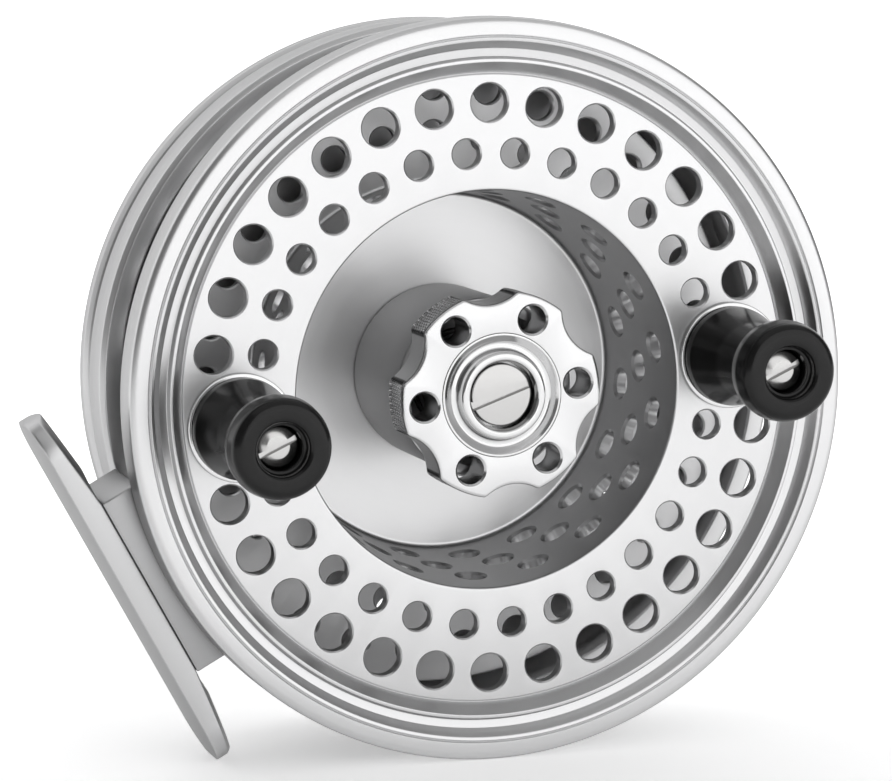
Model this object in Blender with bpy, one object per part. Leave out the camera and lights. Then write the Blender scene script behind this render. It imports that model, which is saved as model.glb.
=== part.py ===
"""A large-arbor fly reel with twin handles, a front drag knob and a half frame, built as separate pieces.

The spool turns about the Y axis. Its handle side faces -Y, the frame's back plate faces +Y, and +Z is up.
Outlines of turned pieces are lists of (radius, depth) points, where depth 0 is the front face of the
spool and grows towards the back plate.
"""

import math

import bmesh
import bpy
from mathutils import Matrix, Vector

MM = 0.001

# Clearances
GAP = 0.3 * MM  # between pieces that rest on or pass one another
RUN = 0.1 * MM  # radial clearance of a running fit

# Facets of turned pieces
LARGE_ROUND = 48
SMALL_ROUND = 24
SCREW_ROUND = 14

# Spool rim and face
RIM_RADIUS = 55.0 * MM
RIM_FRONT = -3.2 * MM
RIM_REAR = 3.4 * MM
RIM_WIDTH = 8.5 * MM  # from the rim's outside to the flat face
RIM_ROUND = 2.6 * MM  # the round on the rim's outer edge
FACE_RADIUS = RIM_RADIUS - RIM_WIDTH
FACE_WIDTH = 16.8 * MM  # of the flat, perforated band
FACE_THICKNESS = 2.2 * MM
FACE_CENTRE_ANGLE = 95.85  # degrees, middle of the upper group of face holes
FACE_RINGS = (  # circle radius, hole radius, holes in each half, pitch in degrees
    (FACE_RADIUS - 4.1 * MM, 2.82 * MM, 14, 11.54),
    (FACE_RADIUS - 11.4 * MM, 2.15 * MM, 13, 12.24),
)

# Spool cup
CUP_MOUTH_RADIUS = FACE_RADIUS - FACE_WIDTH
CUP_TAPER = 2.1 * MM  # the cup's radius shrinks by this from its mouth to its floor
CUP_FLOOR_RADIUS = CUP_MOUTH_RADIUS - CUP_TAPER
CUP_FLOOR_DEPTH = 25.0 * MM
CUP_WALL = 1.6 * MM
CUP_HOLE_RADIUS = 2.2 * MM
CUP_HOLES_PER_ROW = 18
CUP_HOLE_ROWS = ((18.0 * MM, 9.0), (11.9 * MM, 2.0), (5.9 * MM, 15.0))  # height above the floor, first angle
FLOOR_THICKNESS = 3.2 * MM
FLOOR_REAR = CUP_FLOOR_DEPTH + FLOOR_THICKNESS

# Handles
HANDLE_CIRCLE = FACE_RADIUS - 8.3 * MM
HANDLE_ANGLE = 5.85  # degrees
HANDLE_LENGTH = 22.6 * MM
HANDLE_POST_RADIUS = 2.4 * MM
HANDLE_SCREW_HEAD_RADIUS = HANDLE_POST_RADIUS + 0.6 * MM
HANDLE_SCREW_HEAD_HEIGHT = 1.5 * MM
HANDLE_SCREW_SHANK_RADIUS = 1.1 * MM
HANDLE_COUNTERBORE_RADIUS = HANDLE_SCREW_HEAD_RADIUS + 2 * GAP
HANDLE_COUNTERBORE_DEPTH = 5.2 * MM
HANDLE_WAIST_RADIUS = HANDLE_POST_RADIUS + 2.5 * MM
HANDLE_BEAD_ROUND = 3.3 * MM
HANDLE_BEAD_RADIUS = HANDLE_COUNTERBORE_RADIUS + HANDLE_BEAD_ROUND + 0.5 * MM
HANDLE_FOOT_RADIUS = 7.5 * MM
HANDLE_SEAT_RADIUS = HANDLE_FOOT_RADIUS + 0.5 * MM
HANDLE_SEAT_THICKNESS = 0.6 * MM
HANDLE_END = -(GAP + HANDLE_SEAT_THICKNESS + GAP + HANDLE_LENGTH)

# Drag knob, from its front face backwards
KNOB_FRONT = -5.7 * MM
KNOB_THICKNESS = 7.0 * MM
KNOB_REAR = KNOB_FRONT + KNOB_THICKNESS
BEZEL_FRONT = KNOB_FRONT - 1.1 * MM
BEZEL_POCKET_FLOOR = BEZEL_FRONT + 3.6 * MM
CENTRE_SCREW_FRONT = BEZEL_FRONT + 1.3 * MM
CENTRE_SCREW_HEAD_HEIGHT = 1.2 * MM
SPINDLE_FRONT = CENTRE_SCREW_FRONT + CENTRE_SCREW_HEAD_HEIGHT + GAP

# Spindle and the pieces on it
SPINDLE_RADIUS = 4.0 * MM
SPINDLE_FLANGE_RADIUS = SPINDLE_RADIUS + 4.2 * MM
SPINDLE_FLANGE_THICKNESS = 1.0 * MM
BEARING_RADIUS = SPINDLE_RADIUS + 4.0 * MM
BEARING_WIDTH = 4.0 * MM
CLUTCH_RADIUS = SPINDLE_RADIUS + 3.0 * MM
DISC_THICKNESS = 1.0 * MM
DRAG_PLATE_THICKNESS = 1.4 * MM
PRESSURE_WALL_LENGTH = BEARING_WIDTH - RUN
WASHER_RADIUS = SPINDLE_RADIUS + 3.4 * MM
WASHER_THICKNESS = 0.8 * MM
SPRING_THICKNESS = 0.4 * MM
SPRING_CONE = 0.7 * MM
SPRING_TRAVEL = 0.8 * MM
NUT_RADIUS = SPINDLE_RADIUS + 4.4 * MM
CENTRE_SCREW_SHANK_RADIUS = 1.7 * MM
CENTRE_SCREW_SHANK_LENGTH = 9.0 * MM

# Drag housing and the knob's outline
HOUSING_RADIUS = 13.5 * MM
HOUSING_WALL = 1.9 * MM
HOUSING_FRONT = KNOB_REAR + 0.8 * MM
HOUSING_BORE_RADIUS = HOUSING_RADIUS - HOUSING_WALL
DRAG_BORE_RADIUS = CLUTCH_RADIUS + GAP
DRAG_DISC_RADIUS = HOUSING_BORE_RADIUS - GAP
KNOB_RADIUS = HOUSING_RADIUS + 1.8 * MM
KNOB_LOBES = 6
KNOB_HOLE_ANGLE = 6.5  # degrees
KNOB_HOLE_RADIUS = 2.1 * MM
KNOB_HOLE_CIRCLE = KNOB_RADIUS - 3.4 * MM
SCALLOP_RADIUS = 7.0 * MM
SCALLOP_CIRCLE = KNOB_RADIUS + SCALLOP_RADIUS - 1.9 * MM
KNOB_NECK_RADIUS = SPINDLE_RADIUS + 3.0 * MM
CENTRE_SCREW_RADIUS = SPINDLE_RADIUS + 0.6 * MM
BEZEL_BORE_RADIUS = CENTRE_SCREW_RADIUS + 0.35 * MM
BEZEL_BEAD_RADIUS = 6.6 * MM
BEZEL_RADIUS = BEZEL_BEAD_RADIUS + 2.5 * MM
SLOT_WIDTH = 1.3 * MM

# The spool's hub, which the drag clamps and the click gear sits on
HUB_RADIUS = HOUSING_BORE_RADIUS - GAP
HUB_RISE = 1.8 * MM  # above the cup's floor
HUB_FRONT = CUP_FLOOR_DEPTH - HUB_RISE
HUB_BORE_RADIUS = SPINDLE_RADIUS + 1.6 * MM
GEAR_SEAT_RADIUS = BEARING_RADIUS + RUN + 2.5 * MM

# Click mechanism
CLICK_TEETH = 24
CLICK_ROOT_RADIUS = GEAR_SEAT_RADIUS + 4.0 * MM
CLICK_TIP_RADIUS = CLICK_ROOT_RADIUS + 1.6 * MM
CLICK_THICKNESS = 2.2 * MM
CLICK_FRONT = FLOOR_REAR + GAP
PAWL_CIRCLE = CLICK_TIP_RADIUS + 6.4 * MM
PAWL_ANGLE = 60.0  # degrees
PAWL_PIN_RADIUS = 1.3 * MM
PAWL_RADIUS = PAWL_PIN_RADIUS + 1.6 * MM
PAWL_THICKNESS = 1.8 * MM
SPRING_POST_SIDE_STEP = 9.5 * MM
SPRING_POST_RADIUS = 1.4 * MM
SPRING_WIRE_RADIUS = 0.3 * MM

# Frame, stacked behind the hub
HUB_REAR = CLICK_FRONT + CLICK_THICKNESS + GAP
BOSS_FRONT = HUB_REAR + GAP + SPINDLE_FLANGE_THICKNESS + GAP
BOSS_RADIUS = SPINDLE_FLANGE_RADIUS + 5.8 * MM
BOSS_HEIGHT = 2.3 * MM
PLATE_FRONT = BOSS_FRONT + BOSS_HEIGHT
PLATE_THICKNESS = 2.8 * MM
PLATE_RECESS = 0.6 * MM
FRAME_REAR = PLATE_FRONT + PLATE_THICKNESS
NUT_POCKET_RADIUS = NUT_RADIUS + 1.4 * MM
NUT_POCKET_DEPTH = 2.2 * MM
NUT_POCKET_FLOOR = FRAME_REAR - NUT_POCKET_DEPTH
RING_RADIUS = RIM_RADIUS - 1.0 * MM
RING_WALL = 3.4 * MM
RING_INNER_RADIUS = RING_RADIUS - RING_WALL
RING_DEPTH = 16.8 * MM
RING_FRONT = FRAME_REAR - RING_DEPTH
PORT_CIRCLE = RING_INNER_RADIUS - 11.2 * MM
PORT_RADIUS = 2.2 * MM
PORTS = 28
WALL_OUTER_RADIUS = RING_RADIUS - RUN
WALL_THICKNESS = 2.4 * MM
WALL_INNER_RADIUS = WALL_OUTER_RADIUS - WALL_THICKNESS
WALL_FRONT = RIM_REAR + 0.8 * MM
WALL_HALF_ANGLE = 22.6  # degrees

# Spool's rear flange, which turns inside the ring
FLANGE_RADIUS = RING_INNER_RADIUS - 1.6 * MM
FLANGE_THICKNESS = 1.9 * MM
FLANGE_FRONT = FLOOR_REAR - FLANGE_THICKNESS
FLANGE_RINGS = (  # circle radius, hole radius, holes
    (CUP_FLOOR_RADIUS + CUP_WALL + 7.2 * MM, 2.0 * MM, 28),
    (FLANGE_RADIUS - 5.2 * MM, 2.2 * MM, 31),
)
FLANGE_HOLE_ANGLE = 90.4  # degrees, where the rings of flange holes line up

# Foot
FOOT_ANGLE = 208.6  # degrees, the direction that the foot faces
FOOT_LENGTH = 58.6 * MM
FOOT_WIDTH = 14.8 * MM
FOOT_SEAT_RADIUS = WALL_OUTER_RADIUS + 3.8 * MM
FOOT_THICKNESS = 3.4 * MM
FOOT_TIP_THICKNESS = 1.7 * MM
FOOT_CROWN = 1.3 * MM
FOOT_CORNER_RADIUS = 6.0 * MM
FOOT_OUTER_RADIUS = FOOT_SEAT_RADIUS + FOOT_THICKNESS
FOOT_MIDDLE_DEPTH = WALL_FRONT + FOOT_WIDTH / 2
PAD_LENGTH = 29.2 * MM
FOOT_SCREW_STEP = 8.0 * MM
FOOT_SCREW_HEAD_RADIUS = 2.6 * MM
FOOT_SCREW_HEAD_HEIGHT = 1.3 * MM
FOOT_SCREW_SHANK_RADIUS = 1.4 * MM
FOOT_SCREW_POCKET_FLOOR = WALL_INNER_RADIUS + 1.3 * MM
FOOT_SCREW_HOLE_END = FOOT_OUTER_RADIUS - 0.9 * MM

REACH = 1.0 * MM  # how far a drill runs past the material it cuts


def direction(degrees):
    """The unit vector in the XZ plane at an angle counted from +X towards +Z."""
    return Vector((math.cos(math.radians(degrees)), 0.0, math.sin(math.radians(degrees))))


def on_circle(radius, degrees, depth=0.0):
    """A point at a radius and an angle about the Y axis, at a depth."""
    return radius * direction(degrees) + Vector((0.0, depth, 0.0))


def finish(name, colour, roughness, metallic):
    """A plain Principled material."""
    material = bpy.data.materials.new(name)
    material.use_nodes = True
    shader = material.node_tree.nodes["Principled BSDF"]
    shader.inputs["Base Color"].default_value = (*colour, 1.0)
    shader.inputs["Roughness"].default_value = roughness
    shader.inputs["Metallic"].default_value = metallic
    material.diffuse_color = (*colour, 1.0)
    return material


def add_solid(name, bm, material, parent, place=(0.0, 0.0, 0.0), turn=None):
    """Turns a bmesh into a named object under a parent, with its faces pointing out."""
    bmesh.ops.recalc_face_normals(bm, faces=bm.faces)
    mesh = bpy.data.meshes.new(name)
    bm.to_mesh(mesh)
    bm.free()
    mesh.shade_smooth()
    mesh.set_sharp_from_angle(angle=math.radians(35.0))
    solid = bpy.data.objects.new(name, mesh)
    bpy.context.scene.collection.objects.link(solid)
    solid.parent = parent
    solid.location = place
    if turn is not None:
        solid.rotation_euler = turn.to_euler()
    if material is not None:
        mesh.materials.append(material)
    return solid


def turned_mesh(bm, outline, facets):
    """Adds a solid of revolution about Y to a bmesh, from a closed loop of (radius, depth) points."""
    rings = []
    for radius, depth in outline:
        if radius == 0.0:
            rings.append([bm.verts.new((0.0, depth, 0.0))] * facets)
            continue
        angles = [360.0 * step / facets for step in range(facets)]
        rings.append([bm.verts.new(on_circle(radius, angle, depth)) for angle in angles])
    for ring, following in zip(rings, rings[1:] + rings[:1]):
        for step in range(facets):
            after = (step + 1) % facets
            corners = dict.fromkeys((ring[step], ring[after], following[after], following[step]))
            if len(corners) > 2:
                bm.faces.new(list(corners))


def turned(name, outline, material, parent, facets=LARGE_ROUND, place=(0.0, 0.0, 0.0), turn=None):
    """A named solid of revolution about its own Y axis."""
    bm = bmesh.new()
    turned_mesh(bm, outline, facets)
    return add_solid(name, bm, material, parent, place, turn)


def tube(inner, outer, front, rear):
    """The outline of a plain ring or sleeve."""
    return [(inner, front), (outer, front), (outer, rear), (inner, rear)]


def extruded_mesh(bm, outline, front, rear):
    """Adds a prism along Y to a bmesh, from an outline of (x, z) points."""
    near = [bm.verts.new((x, front, z)) for x, z in outline]
    far = [bm.verts.new((x, rear, z)) for x, z in outline]
    bm.faces.new(near)
    bm.faces.new(list(reversed(far)))
    for index in range(len(outline)):
        after = (index + 1) % len(outline)
        bm.faces.new((near[index], near[after], far[after], far[index]))


def add_rod(bm, start, end, radius, facets):
    """Adds a closed cylinder between two points to a bmesh."""
    along = Vector(end) - Vector(start)
    turn = Vector((0.0, 0.0, 1.0)).rotation_difference(along).to_matrix().to_4x4()
    middle = Matrix.Translation((Vector(start) + Vector(end)) / 2)
    size = {"radius1": radius, "radius2": radius, "depth": along.length}
    bmesh.ops.create_cone(bm, cap_ends=True, segments=facets, matrix=middle @ turn, **size)


def cut(solid, name, bm, operation="DIFFERENCE"):
    """Cuts a bmesh from a solid, or joins it on, with a Boolean whose other body is hidden."""
    helper = add_solid(name, bm, None, solid.parent, solid.location)
    helper.hide_render = True
    helper.display_type = "WIRE"
    boolean = solid.modifiers.new(name, "BOOLEAN")
    boolean.operation = operation
    boolean.object = helper
    boolean.solver = "EXACT"


def drill(solid, name, holes, facets):
    """Drills straight holes, each given by its two end points and its radius."""
    bm = bmesh.new()
    for start, end, radius in holes:
        add_rod(bm, start, end, radius, facets)
    cut(solid, name, bm)


def slot(solid, name, width, front, depth, length, degrees):
    """Mills a straight screwdriver slot across the front of a turned screw."""
    bm = bmesh.new()
    turn = Matrix.Rotation(-math.radians(degrees), 4, "Y")
    size = Matrix.Diagonal((length, 2 * depth, width, 1.0))
    bmesh.ops.create_cube(bm, size=1.0, matrix=Matrix.Translation((0.0, front, 0.0)) @ turn @ size)
    cut(solid, name, bm)


def make_finishes():
    """The plain materials, by name."""
    return {
        "satin": finish("satin_aluminium", (0.78, 0.78, 0.79), 0.32, 1.0),
        "steel": finish("stainless_steel", (0.62, 0.61, 0.60), 0.25, 1.0),
        "black": finish("black_handle", (0.02, 0.02, 0.022), 0.28, 0.0),
        "cork": finish("cork", (0.55, 0.38, 0.22), 0.85, 0.0),
        "brass": finish("brass", (0.75, 0.58, 0.28), 0.35, 1.0),
    }


def rim_outline():
    """The front of the spool from the face's edge over the palming rim to the back of the face."""
    outline = [
        (FACE_RADIUS, 0.0),
        (FACE_RADIUS + 0.2 * MM, 0.3 * MM),
        (FACE_RADIUS + 2.1 * MM, RIM_FRONT + 1.1 * MM),
        (FACE_RADIUS + 2.6 * MM, RIM_FRONT + 1.9 * MM),
        (RIM_RADIUS - 4.6 * MM, RIM_FRONT + 1.7 * MM),
        (RIM_RADIUS - 3.4 * MM, RIM_FRONT),
        (RIM_RADIUS - 3.0 * MM, RIM_FRONT + 0.3 * MM),
        (RIM_RADIUS - RIM_ROUND, RIM_FRONT),
    ]
    for degrees in (45.0, 90.0):
        angle = math.radians(degrees)
        depth = RIM_FRONT + 3.0 * MM * (1 - math.cos(angle))
        outline.append((RIM_RADIUS - RIM_ROUND * (1 - math.sin(angle)), depth))
    outline += [
        (RIM_RADIUS, RIM_REAR - 0.4 * MM),
        (RIM_RADIUS - 0.4 * MM, RIM_REAR),
        (RIM_RADIUS - 1.8 * MM, RIM_REAR),
        (RIM_RADIUS - 2.8 * MM, FACE_THICKNESS),
    ]
    return outline


def spool_outline():
    """The spool's closed outline: hub, cup floor, cup wall, face, rim, arbor and rear flange."""
    seat = BEARING_RADIUS + RUN
    bearing_rear = HUB_FRONT + 2 * GAP + BEARING_WIDTH
    return [
        (seat, HUB_FRONT),
        (HUB_RADIUS, HUB_FRONT),
        (HUB_RADIUS, CUP_FLOOR_DEPTH),
        (CUP_FLOOR_RADIUS - 0.5 * MM, CUP_FLOOR_DEPTH),
        (CUP_FLOOR_RADIUS, CUP_FLOOR_DEPTH - 0.5 * MM),
        (CUP_MOUTH_RADIUS - 0.3 * MM, 0.9 * MM),
        (CUP_MOUTH_RADIUS, 0.3 * MM),
        (CUP_MOUTH_RADIUS + 0.6 * MM, 0.0),
        *rim_outline(),
        (CUP_MOUTH_RADIUS + CUP_WALL, FACE_THICKNESS),
        (CUP_FLOOR_RADIUS + CUP_WALL, FLANGE_FRONT),
        (FLANGE_RADIUS - 0.3 * MM, FLANGE_FRONT),
        (FLANGE_RADIUS, FLANGE_FRONT + 0.3 * MM),
        (FLANGE_RADIUS, FLOOR_REAR),
        (GEAR_SEAT_RADIUS, FLOOR_REAR),
        (GEAR_SEAT_RADIUS, HUB_REAR),
        (HUB_BORE_RADIUS, HUB_REAR),
        (HUB_BORE_RADIUS, bearing_rear),
        (seat, bearing_rear),
    ]


def face_hole_angles(count, pitch):
    """The angles of one ring of face holes: two equal groups that leave room for the handles."""
    angles = []
    for centre in (FACE_CENTRE_ANGLE, FACE_CENTRE_ANGLE + 180.0):
        angles += [centre + (index - (count - 1) / 2) * pitch for index in range(count)]
    return angles


def add_spool(axis, finishes):
    """The one-piece spool with its perforated face, cup wall and rear flange."""
    spool = turned("spool", spool_outline(), finishes["satin"], axis)
    holes = []
    for circle, radius, count, pitch in FACE_RINGS:
        for angle in face_hole_angles(count, pitch):
            start = on_circle(circle, angle, -REACH)
            holes.append((start, on_circle(circle, angle, FACE_THICKNESS + REACH), radius))
    for side in (0.0, 180.0):
        start = on_circle(HANDLE_CIRCLE, HANDLE_ANGLE + side, -REACH)
        end = on_circle(HANDLE_CIRCLE, HANDLE_ANGLE + side, FACE_THICKNESS + REACH)
        holes.append((start, end, HANDLE_POST_RADIUS + GAP))
    for circle, radius, count in FLANGE_RINGS:
        for index in range(count):
            angle = FLANGE_HOLE_ANGLE + 360.0 * index / count
            start = on_circle(circle, angle, FLANGE_FRONT - REACH)
            holes.append((start, on_circle(circle, angle, FLOOR_REAR + REACH), radius))
    drill(spool, "face_and_flange_drills", holes, 8)
    holes = []
    for height, first in CUP_HOLE_ROWS:
        depth = CUP_FLOOR_DEPTH - height
        for index in range(CUP_HOLES_PER_ROW):
            angle = first + 360.0 * index / CUP_HOLES_PER_ROW
            start = on_circle(CUP_FLOOR_RADIUS - 3.0 * MM, angle, depth)
            end = on_circle(CUP_MOUTH_RADIUS + CUP_WALL + 2.0 * MM, angle, depth)
            holes.append((start, end, CUP_HOLE_RADIUS))
    drill(spool, "cup_wall_drills", holes, 6)


def frame_outline():
    """The frame's closed outline: spindle boss, back plate and beaded ring."""
    groove = RING_FRONT + 0.53 * (FRAME_REAR - RING_FRONT)
    return [
        (SPINDLE_RADIUS + GAP, BOSS_FRONT),
        (BOSS_RADIUS, BOSS_FRONT),
        (BOSS_RADIUS + 1.0 * MM, PLATE_FRONT),
        (RING_INNER_RADIUS - 1.0 * MM, PLATE_FRONT),
        (RING_INNER_RADIUS, PLATE_FRONT - 1.0 * MM),
        (RING_INNER_RADIUS, RING_FRONT + 0.6 * MM),
        (RING_INNER_RADIUS + 0.6 * MM, RING_FRONT),
        (RING_RADIUS - 0.7 * MM, RING_FRONT),
        (RING_RADIUS, RING_FRONT + 1.2 * MM),
        (RING_RADIUS, groove - 1.0 * MM),
        (RING_RADIUS - 0.9 * MM, groove),
        (RING_RADIUS - 0.9 * MM, groove + 1.4 * MM),
        (RING_RADIUS, groove + 2.4 * MM),
        (RING_RADIUS, FRAME_REAR - 2.0 * MM),
        (RING_RADIUS - 1.4 * MM, FRAME_REAR),
        (RING_RADIUS - 6.0 * MM, FRAME_REAR),
        (RING_RADIUS - 6.6 * MM, FRAME_REAR - PLATE_RECESS),
        (NUT_POCKET_RADIUS + 8.6 * MM, FRAME_REAR - PLATE_RECESS),
        (NUT_POCKET_RADIUS + 8.0 * MM, FRAME_REAR),
        (NUT_POCKET_RADIUS, FRAME_REAR),
        (NUT_POCKET_RADIUS, NUT_POCKET_FLOOR),
        (SPINDLE_RADIUS + GAP, NUT_POCKET_FLOOR),
    ]


def pawl_pin_place():
    """The pawl's pivot, at the depth of the click gear."""
    return on_circle(PAWL_CIRCLE, PAWL_ANGLE)


def spring_post_place():
    """The post that carries the click spring's coil, beside the pawl."""
    side = direction(PAWL_ANGLE + 90.0)
    return pawl_pin_place() + side * SPRING_POST_SIDE_STEP


def foot_axes():
    """The foot's own directions: outwards from the reel, and along the foot."""
    return direction(FOOT_ANGLE), direction(FOOT_ANGLE + 90.0)


def add_wall_and_pad(frame):
    """Joins the wall that carries the foot, and its flat pad, to the frame's ring."""
    overlap = 2.5 * MM
    bm = bmesh.new()
    steps = 12
    angles = [FOOT_ANGLE + WALL_HALF_ANGLE * (2 * step / steps - 1) for step in range(steps + 1)]
    arc = [on_circle(WALL_OUTER_RADIUS, angle) for angle in angles]
    arc += [on_circle(WALL_INNER_RADIUS, angle) for angle in reversed(angles)]
    extruded_mesh(bm, [(point.x, point.z) for point in arc], WALL_FRONT, RING_FRONT + overlap)
    cut(frame, "foot_wall", bm, "UNION")

    out, along = foot_axes()
    bm = bmesh.new()
    corners = []
    for radius, side in ((WALL_INNER_RADIUS + RUN, 1), (FOOT_SEAT_RADIUS - GAP, 1)):
        corners.append(out * radius + along * side * PAD_LENGTH / 2)
    for radius, side in ((FOOT_SEAT_RADIUS - GAP, -1), (WALL_INNER_RADIUS + RUN, -1)):
        corners.append(out * radius + along * side * PAD_LENGTH / 2)
    extruded_mesh(bm, [(point.x, point.z) for point in corners], WALL_FRONT, WALL_FRONT + FOOT_WIDTH)
    cut(frame, "foot_pad", bm, "UNION")


def add_frame(axis, finishes):
    """The one-piece frame: back plate, ring, foot wall and foot pad, with its drilled holes."""
    frame = turned("frame", frame_outline(), finishes["satin"], axis)
    add_wall_and_pad(frame)
    holes = []
    for index in range(PORTS):
        angle = FACE_CENTRE_ANGLE + 360.0 * index / PORTS
        start = on_circle(PORT_CIRCLE, angle, PLATE_FRONT - REACH)
        holes.append((start, on_circle(PORT_CIRCLE, angle, FRAME_REAR + REACH), PORT_RADIUS))
    for place, radius in ((pawl_pin_place(), PAWL_PIN_RADIUS), (spring_post_place(), SPRING_POST_RADIUS)):
        start = place + Vector((0.0, PLATE_FRONT - REACH, 0.0))
        holes.append((start, place + Vector((0.0, FRAME_REAR + REACH, 0.0)), radius + GAP))
    out, along = foot_axes()
    middle = Vector((0.0, FOOT_MIDDLE_DEPTH, 0.0))
    pockets = []
    for side in (-1, 1):
        line = middle + along * side * FOOT_SCREW_STEP
        floor = line + out * FOOT_SCREW_POCKET_FLOOR
        holes.append((floor - out * REACH, line + out * FOOT_SEAT_RADIUS, FOOT_SCREW_SHANK_RADIUS + GAP))
        pockets.append((floor - out * 3 * REACH, floor, FOOT_SCREW_HEAD_RADIUS + GAP))
    drill(frame, "frame_drills", holes, 8)
    drill(frame, "screw_pockets", pockets, 12)


def foot_half_width(distance):
    """Half the foot's width at a distance from its middle: full, with round corners at the ends."""
    past = abs(distance) - (FOOT_LENGTH / 2 - FOOT_CORNER_RADIUS)
    if past <= 0.0:
        return FOOT_WIDTH / 2
    inset = FOOT_CORNER_RADIUS - math.sqrt(max(FOOT_CORNER_RADIUS**2 - past**2, 0.0))
    return FOOT_WIDTH / 2 - inset


def add_reel_foot(axis, finishes):
    """The foot: flat on the rod side, with a crowned blade at each end that thins towards its tip."""
    half = FOOT_LENGTH / 2
    corner_angles = [math.radians(degrees) for degrees in (90.0, 68.0, 45.0, 22.0, 0.0)]
    corner = [half - FOOT_CORNER_RADIUS * (1 - math.sin(angle)) for angle in corner_angles]
    right = [PAD_LENGTH / 2, (PAD_LENGTH / 2 + half - FOOT_CORNER_RADIUS) / 2, *reversed(corner)]
    stations = [-distance for distance in reversed(right)] + right
    crown_steps = 6
    out, along = foot_axes()
    bm = bmesh.new()
    sections = []
    for distance in stations:
        width = foot_half_width(distance)
        share = max(abs(distance) - PAD_LENGTH / 2, 0.0) / (half - PAD_LENGTH / 2)
        edge = FOOT_THICKNESS + share * (FOOT_TIP_THICKNESS - FOOT_THICKNESS)
        crown = FOOT_CROWN * share
        points = [(-width, 0.0)]
        for step in range(crown_steps + 1):
            across = 2 * step / crown_steps - 1
            points.append((across * width, edge + crown * (1 - across**2)))
        points.append((width, 0.0))
        base = along * distance + out * FOOT_OUTER_RADIUS + Vector((0.0, FOOT_MIDDLE_DEPTH, 0.0))
        ring = [base + Vector((0.0, across, 0.0)) - out * height for across, height in points]
        sections.append([bm.verts.new(point) for point in ring])
    for section, following in zip(sections, sections[1:]):
        for index in range(len(section)):
            after = (index + 1) % len(section)
            bm.faces.new((section[index], section[after], following[after], following[index]))
    bm.faces.new(sections[0])
    bm.faces.new(list(reversed(sections[-1])))
    foot = add_solid("reel_foot", bm, finishes["satin"], axis)

    holes = []
    for side in (-1, 1):
        line = Vector((0.0, FOOT_MIDDLE_DEPTH, 0.0)) + along * side * FOOT_SCREW_STEP
        start = line + out * (FOOT_SEAT_RADIUS - REACH)
        holes.append((start, line + out * FOOT_SCREW_HOLE_END, FOOT_SCREW_SHANK_RADIUS + GAP))
    drill(foot, "foot_drills", holes, 12)


def add_foot_screws(axis, finishes):
    """Two cap screws that hold the foot from inside the frame, with their heads sunk in the foot wall."""
    out, along = foot_axes()
    outwards = Vector((0.0, 1.0, 0.0)).rotation_difference(out).to_matrix()
    head_base = FOOT_SCREW_POCKET_FLOOR - GAP
    head_top = head_base - FOOT_SCREW_HEAD_HEIGHT
    shank_end = FOOT_SCREW_HOLE_END - GAP
    outline = [
        (0.0, head_top),
        (FOOT_SCREW_HEAD_RADIUS - 0.3 * MM, head_top),
        (FOOT_SCREW_HEAD_RADIUS, head_top + 0.3 * MM),
        (FOOT_SCREW_HEAD_RADIUS, head_base),
        (FOOT_SCREW_SHANK_RADIUS, head_base),
        (FOOT_SCREW_SHANK_RADIUS, shank_end),
        (0.0, shank_end),
    ]
    for number, side in ((1, -1), (2, 1)):
        place = along * side * FOOT_SCREW_STEP + Vector((0.0, FOOT_MIDDLE_DEPTH, 0.0))
        turned(f"foot_screw_{number}", outline, finishes["steel"], axis, SCREW_ROUND, place, outwards)


def add_spindle(axis, finishes):
    """The fixed spindle, flanged against the back plate's boss, and the nut behind it."""
    tap = CENTRE_SCREW_SHANK_RADIUS + GAP
    tap_end = SPINDLE_FRONT + CENTRE_SCREW_SHANK_LENGTH + 2.0 * MM
    flange_rear = BOSS_FRONT - GAP
    stud_end = FRAME_REAR - 0.2 * MM
    outline = [
        (0.0, tap_end),
        (tap, tap_end),
        (tap, SPINDLE_FRONT),
        (SPINDLE_RADIUS - 0.4 * MM, SPINDLE_FRONT),
        (SPINDLE_RADIUS, SPINDLE_FRONT + 0.4 * MM),
        (SPINDLE_RADIUS, flange_rear - SPINDLE_FLANGE_THICKNESS),
        (SPINDLE_FLANGE_RADIUS, flange_rear - SPINDLE_FLANGE_THICKNESS),
        (SPINDLE_FLANGE_RADIUS, flange_rear),
        (SPINDLE_RADIUS, flange_rear),
        (SPINDLE_RADIUS, stud_end),
        (0.0, stud_end),
    ]
    turned("spindle", outline, finishes["steel"], axis, SMALL_ROUND)

    front, rear = NUT_POCKET_FLOOR + GAP, FRAME_REAR - 0.3 * MM
    nut = turned("spindle_nut", tube(0.0, NUT_RADIUS, front, rear), finishes["steel"], axis, 6)
    start, end = Vector((0.0, front - REACH, 0.0)), Vector((0.0, rear + REACH, 0.0))
    drill(nut, "nut_bore", [(start, end, SPINDLE_RADIUS + GAP)], SMALL_ROUND)


def spring_washer_outline(inner_depth, outer_depth):
    """A coned spring washer's outline, from the depths of its inner and outer edges."""
    inner = SPINDLE_RADIUS + GAP
    return [
        (inner, inner_depth),
        (WASHER_RADIUS, outer_depth),
        (WASHER_RADIUS, outer_depth + SPRING_THICKNESS),
        (inner, inner_depth + SPRING_THICKNESS),
    ]


def bearing_outline(front):
    """A shielded ball bearing's outline, with a shallow groove round each shield."""
    inner = SPINDLE_RADIUS + RUN
    rear = front + BEARING_WIDTH
    groove = 0.25 * MM
    race = 1.1 * MM
    return [
        (inner, front),
        (inner + race, front),
        (inner + race, front + groove),
        (BEARING_RADIUS - race, front + groove),
        (BEARING_RADIUS - race, front),
        (BEARING_RADIUS, front),
        (BEARING_RADIUS, rear),
        (inner, rear),
    ]


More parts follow.
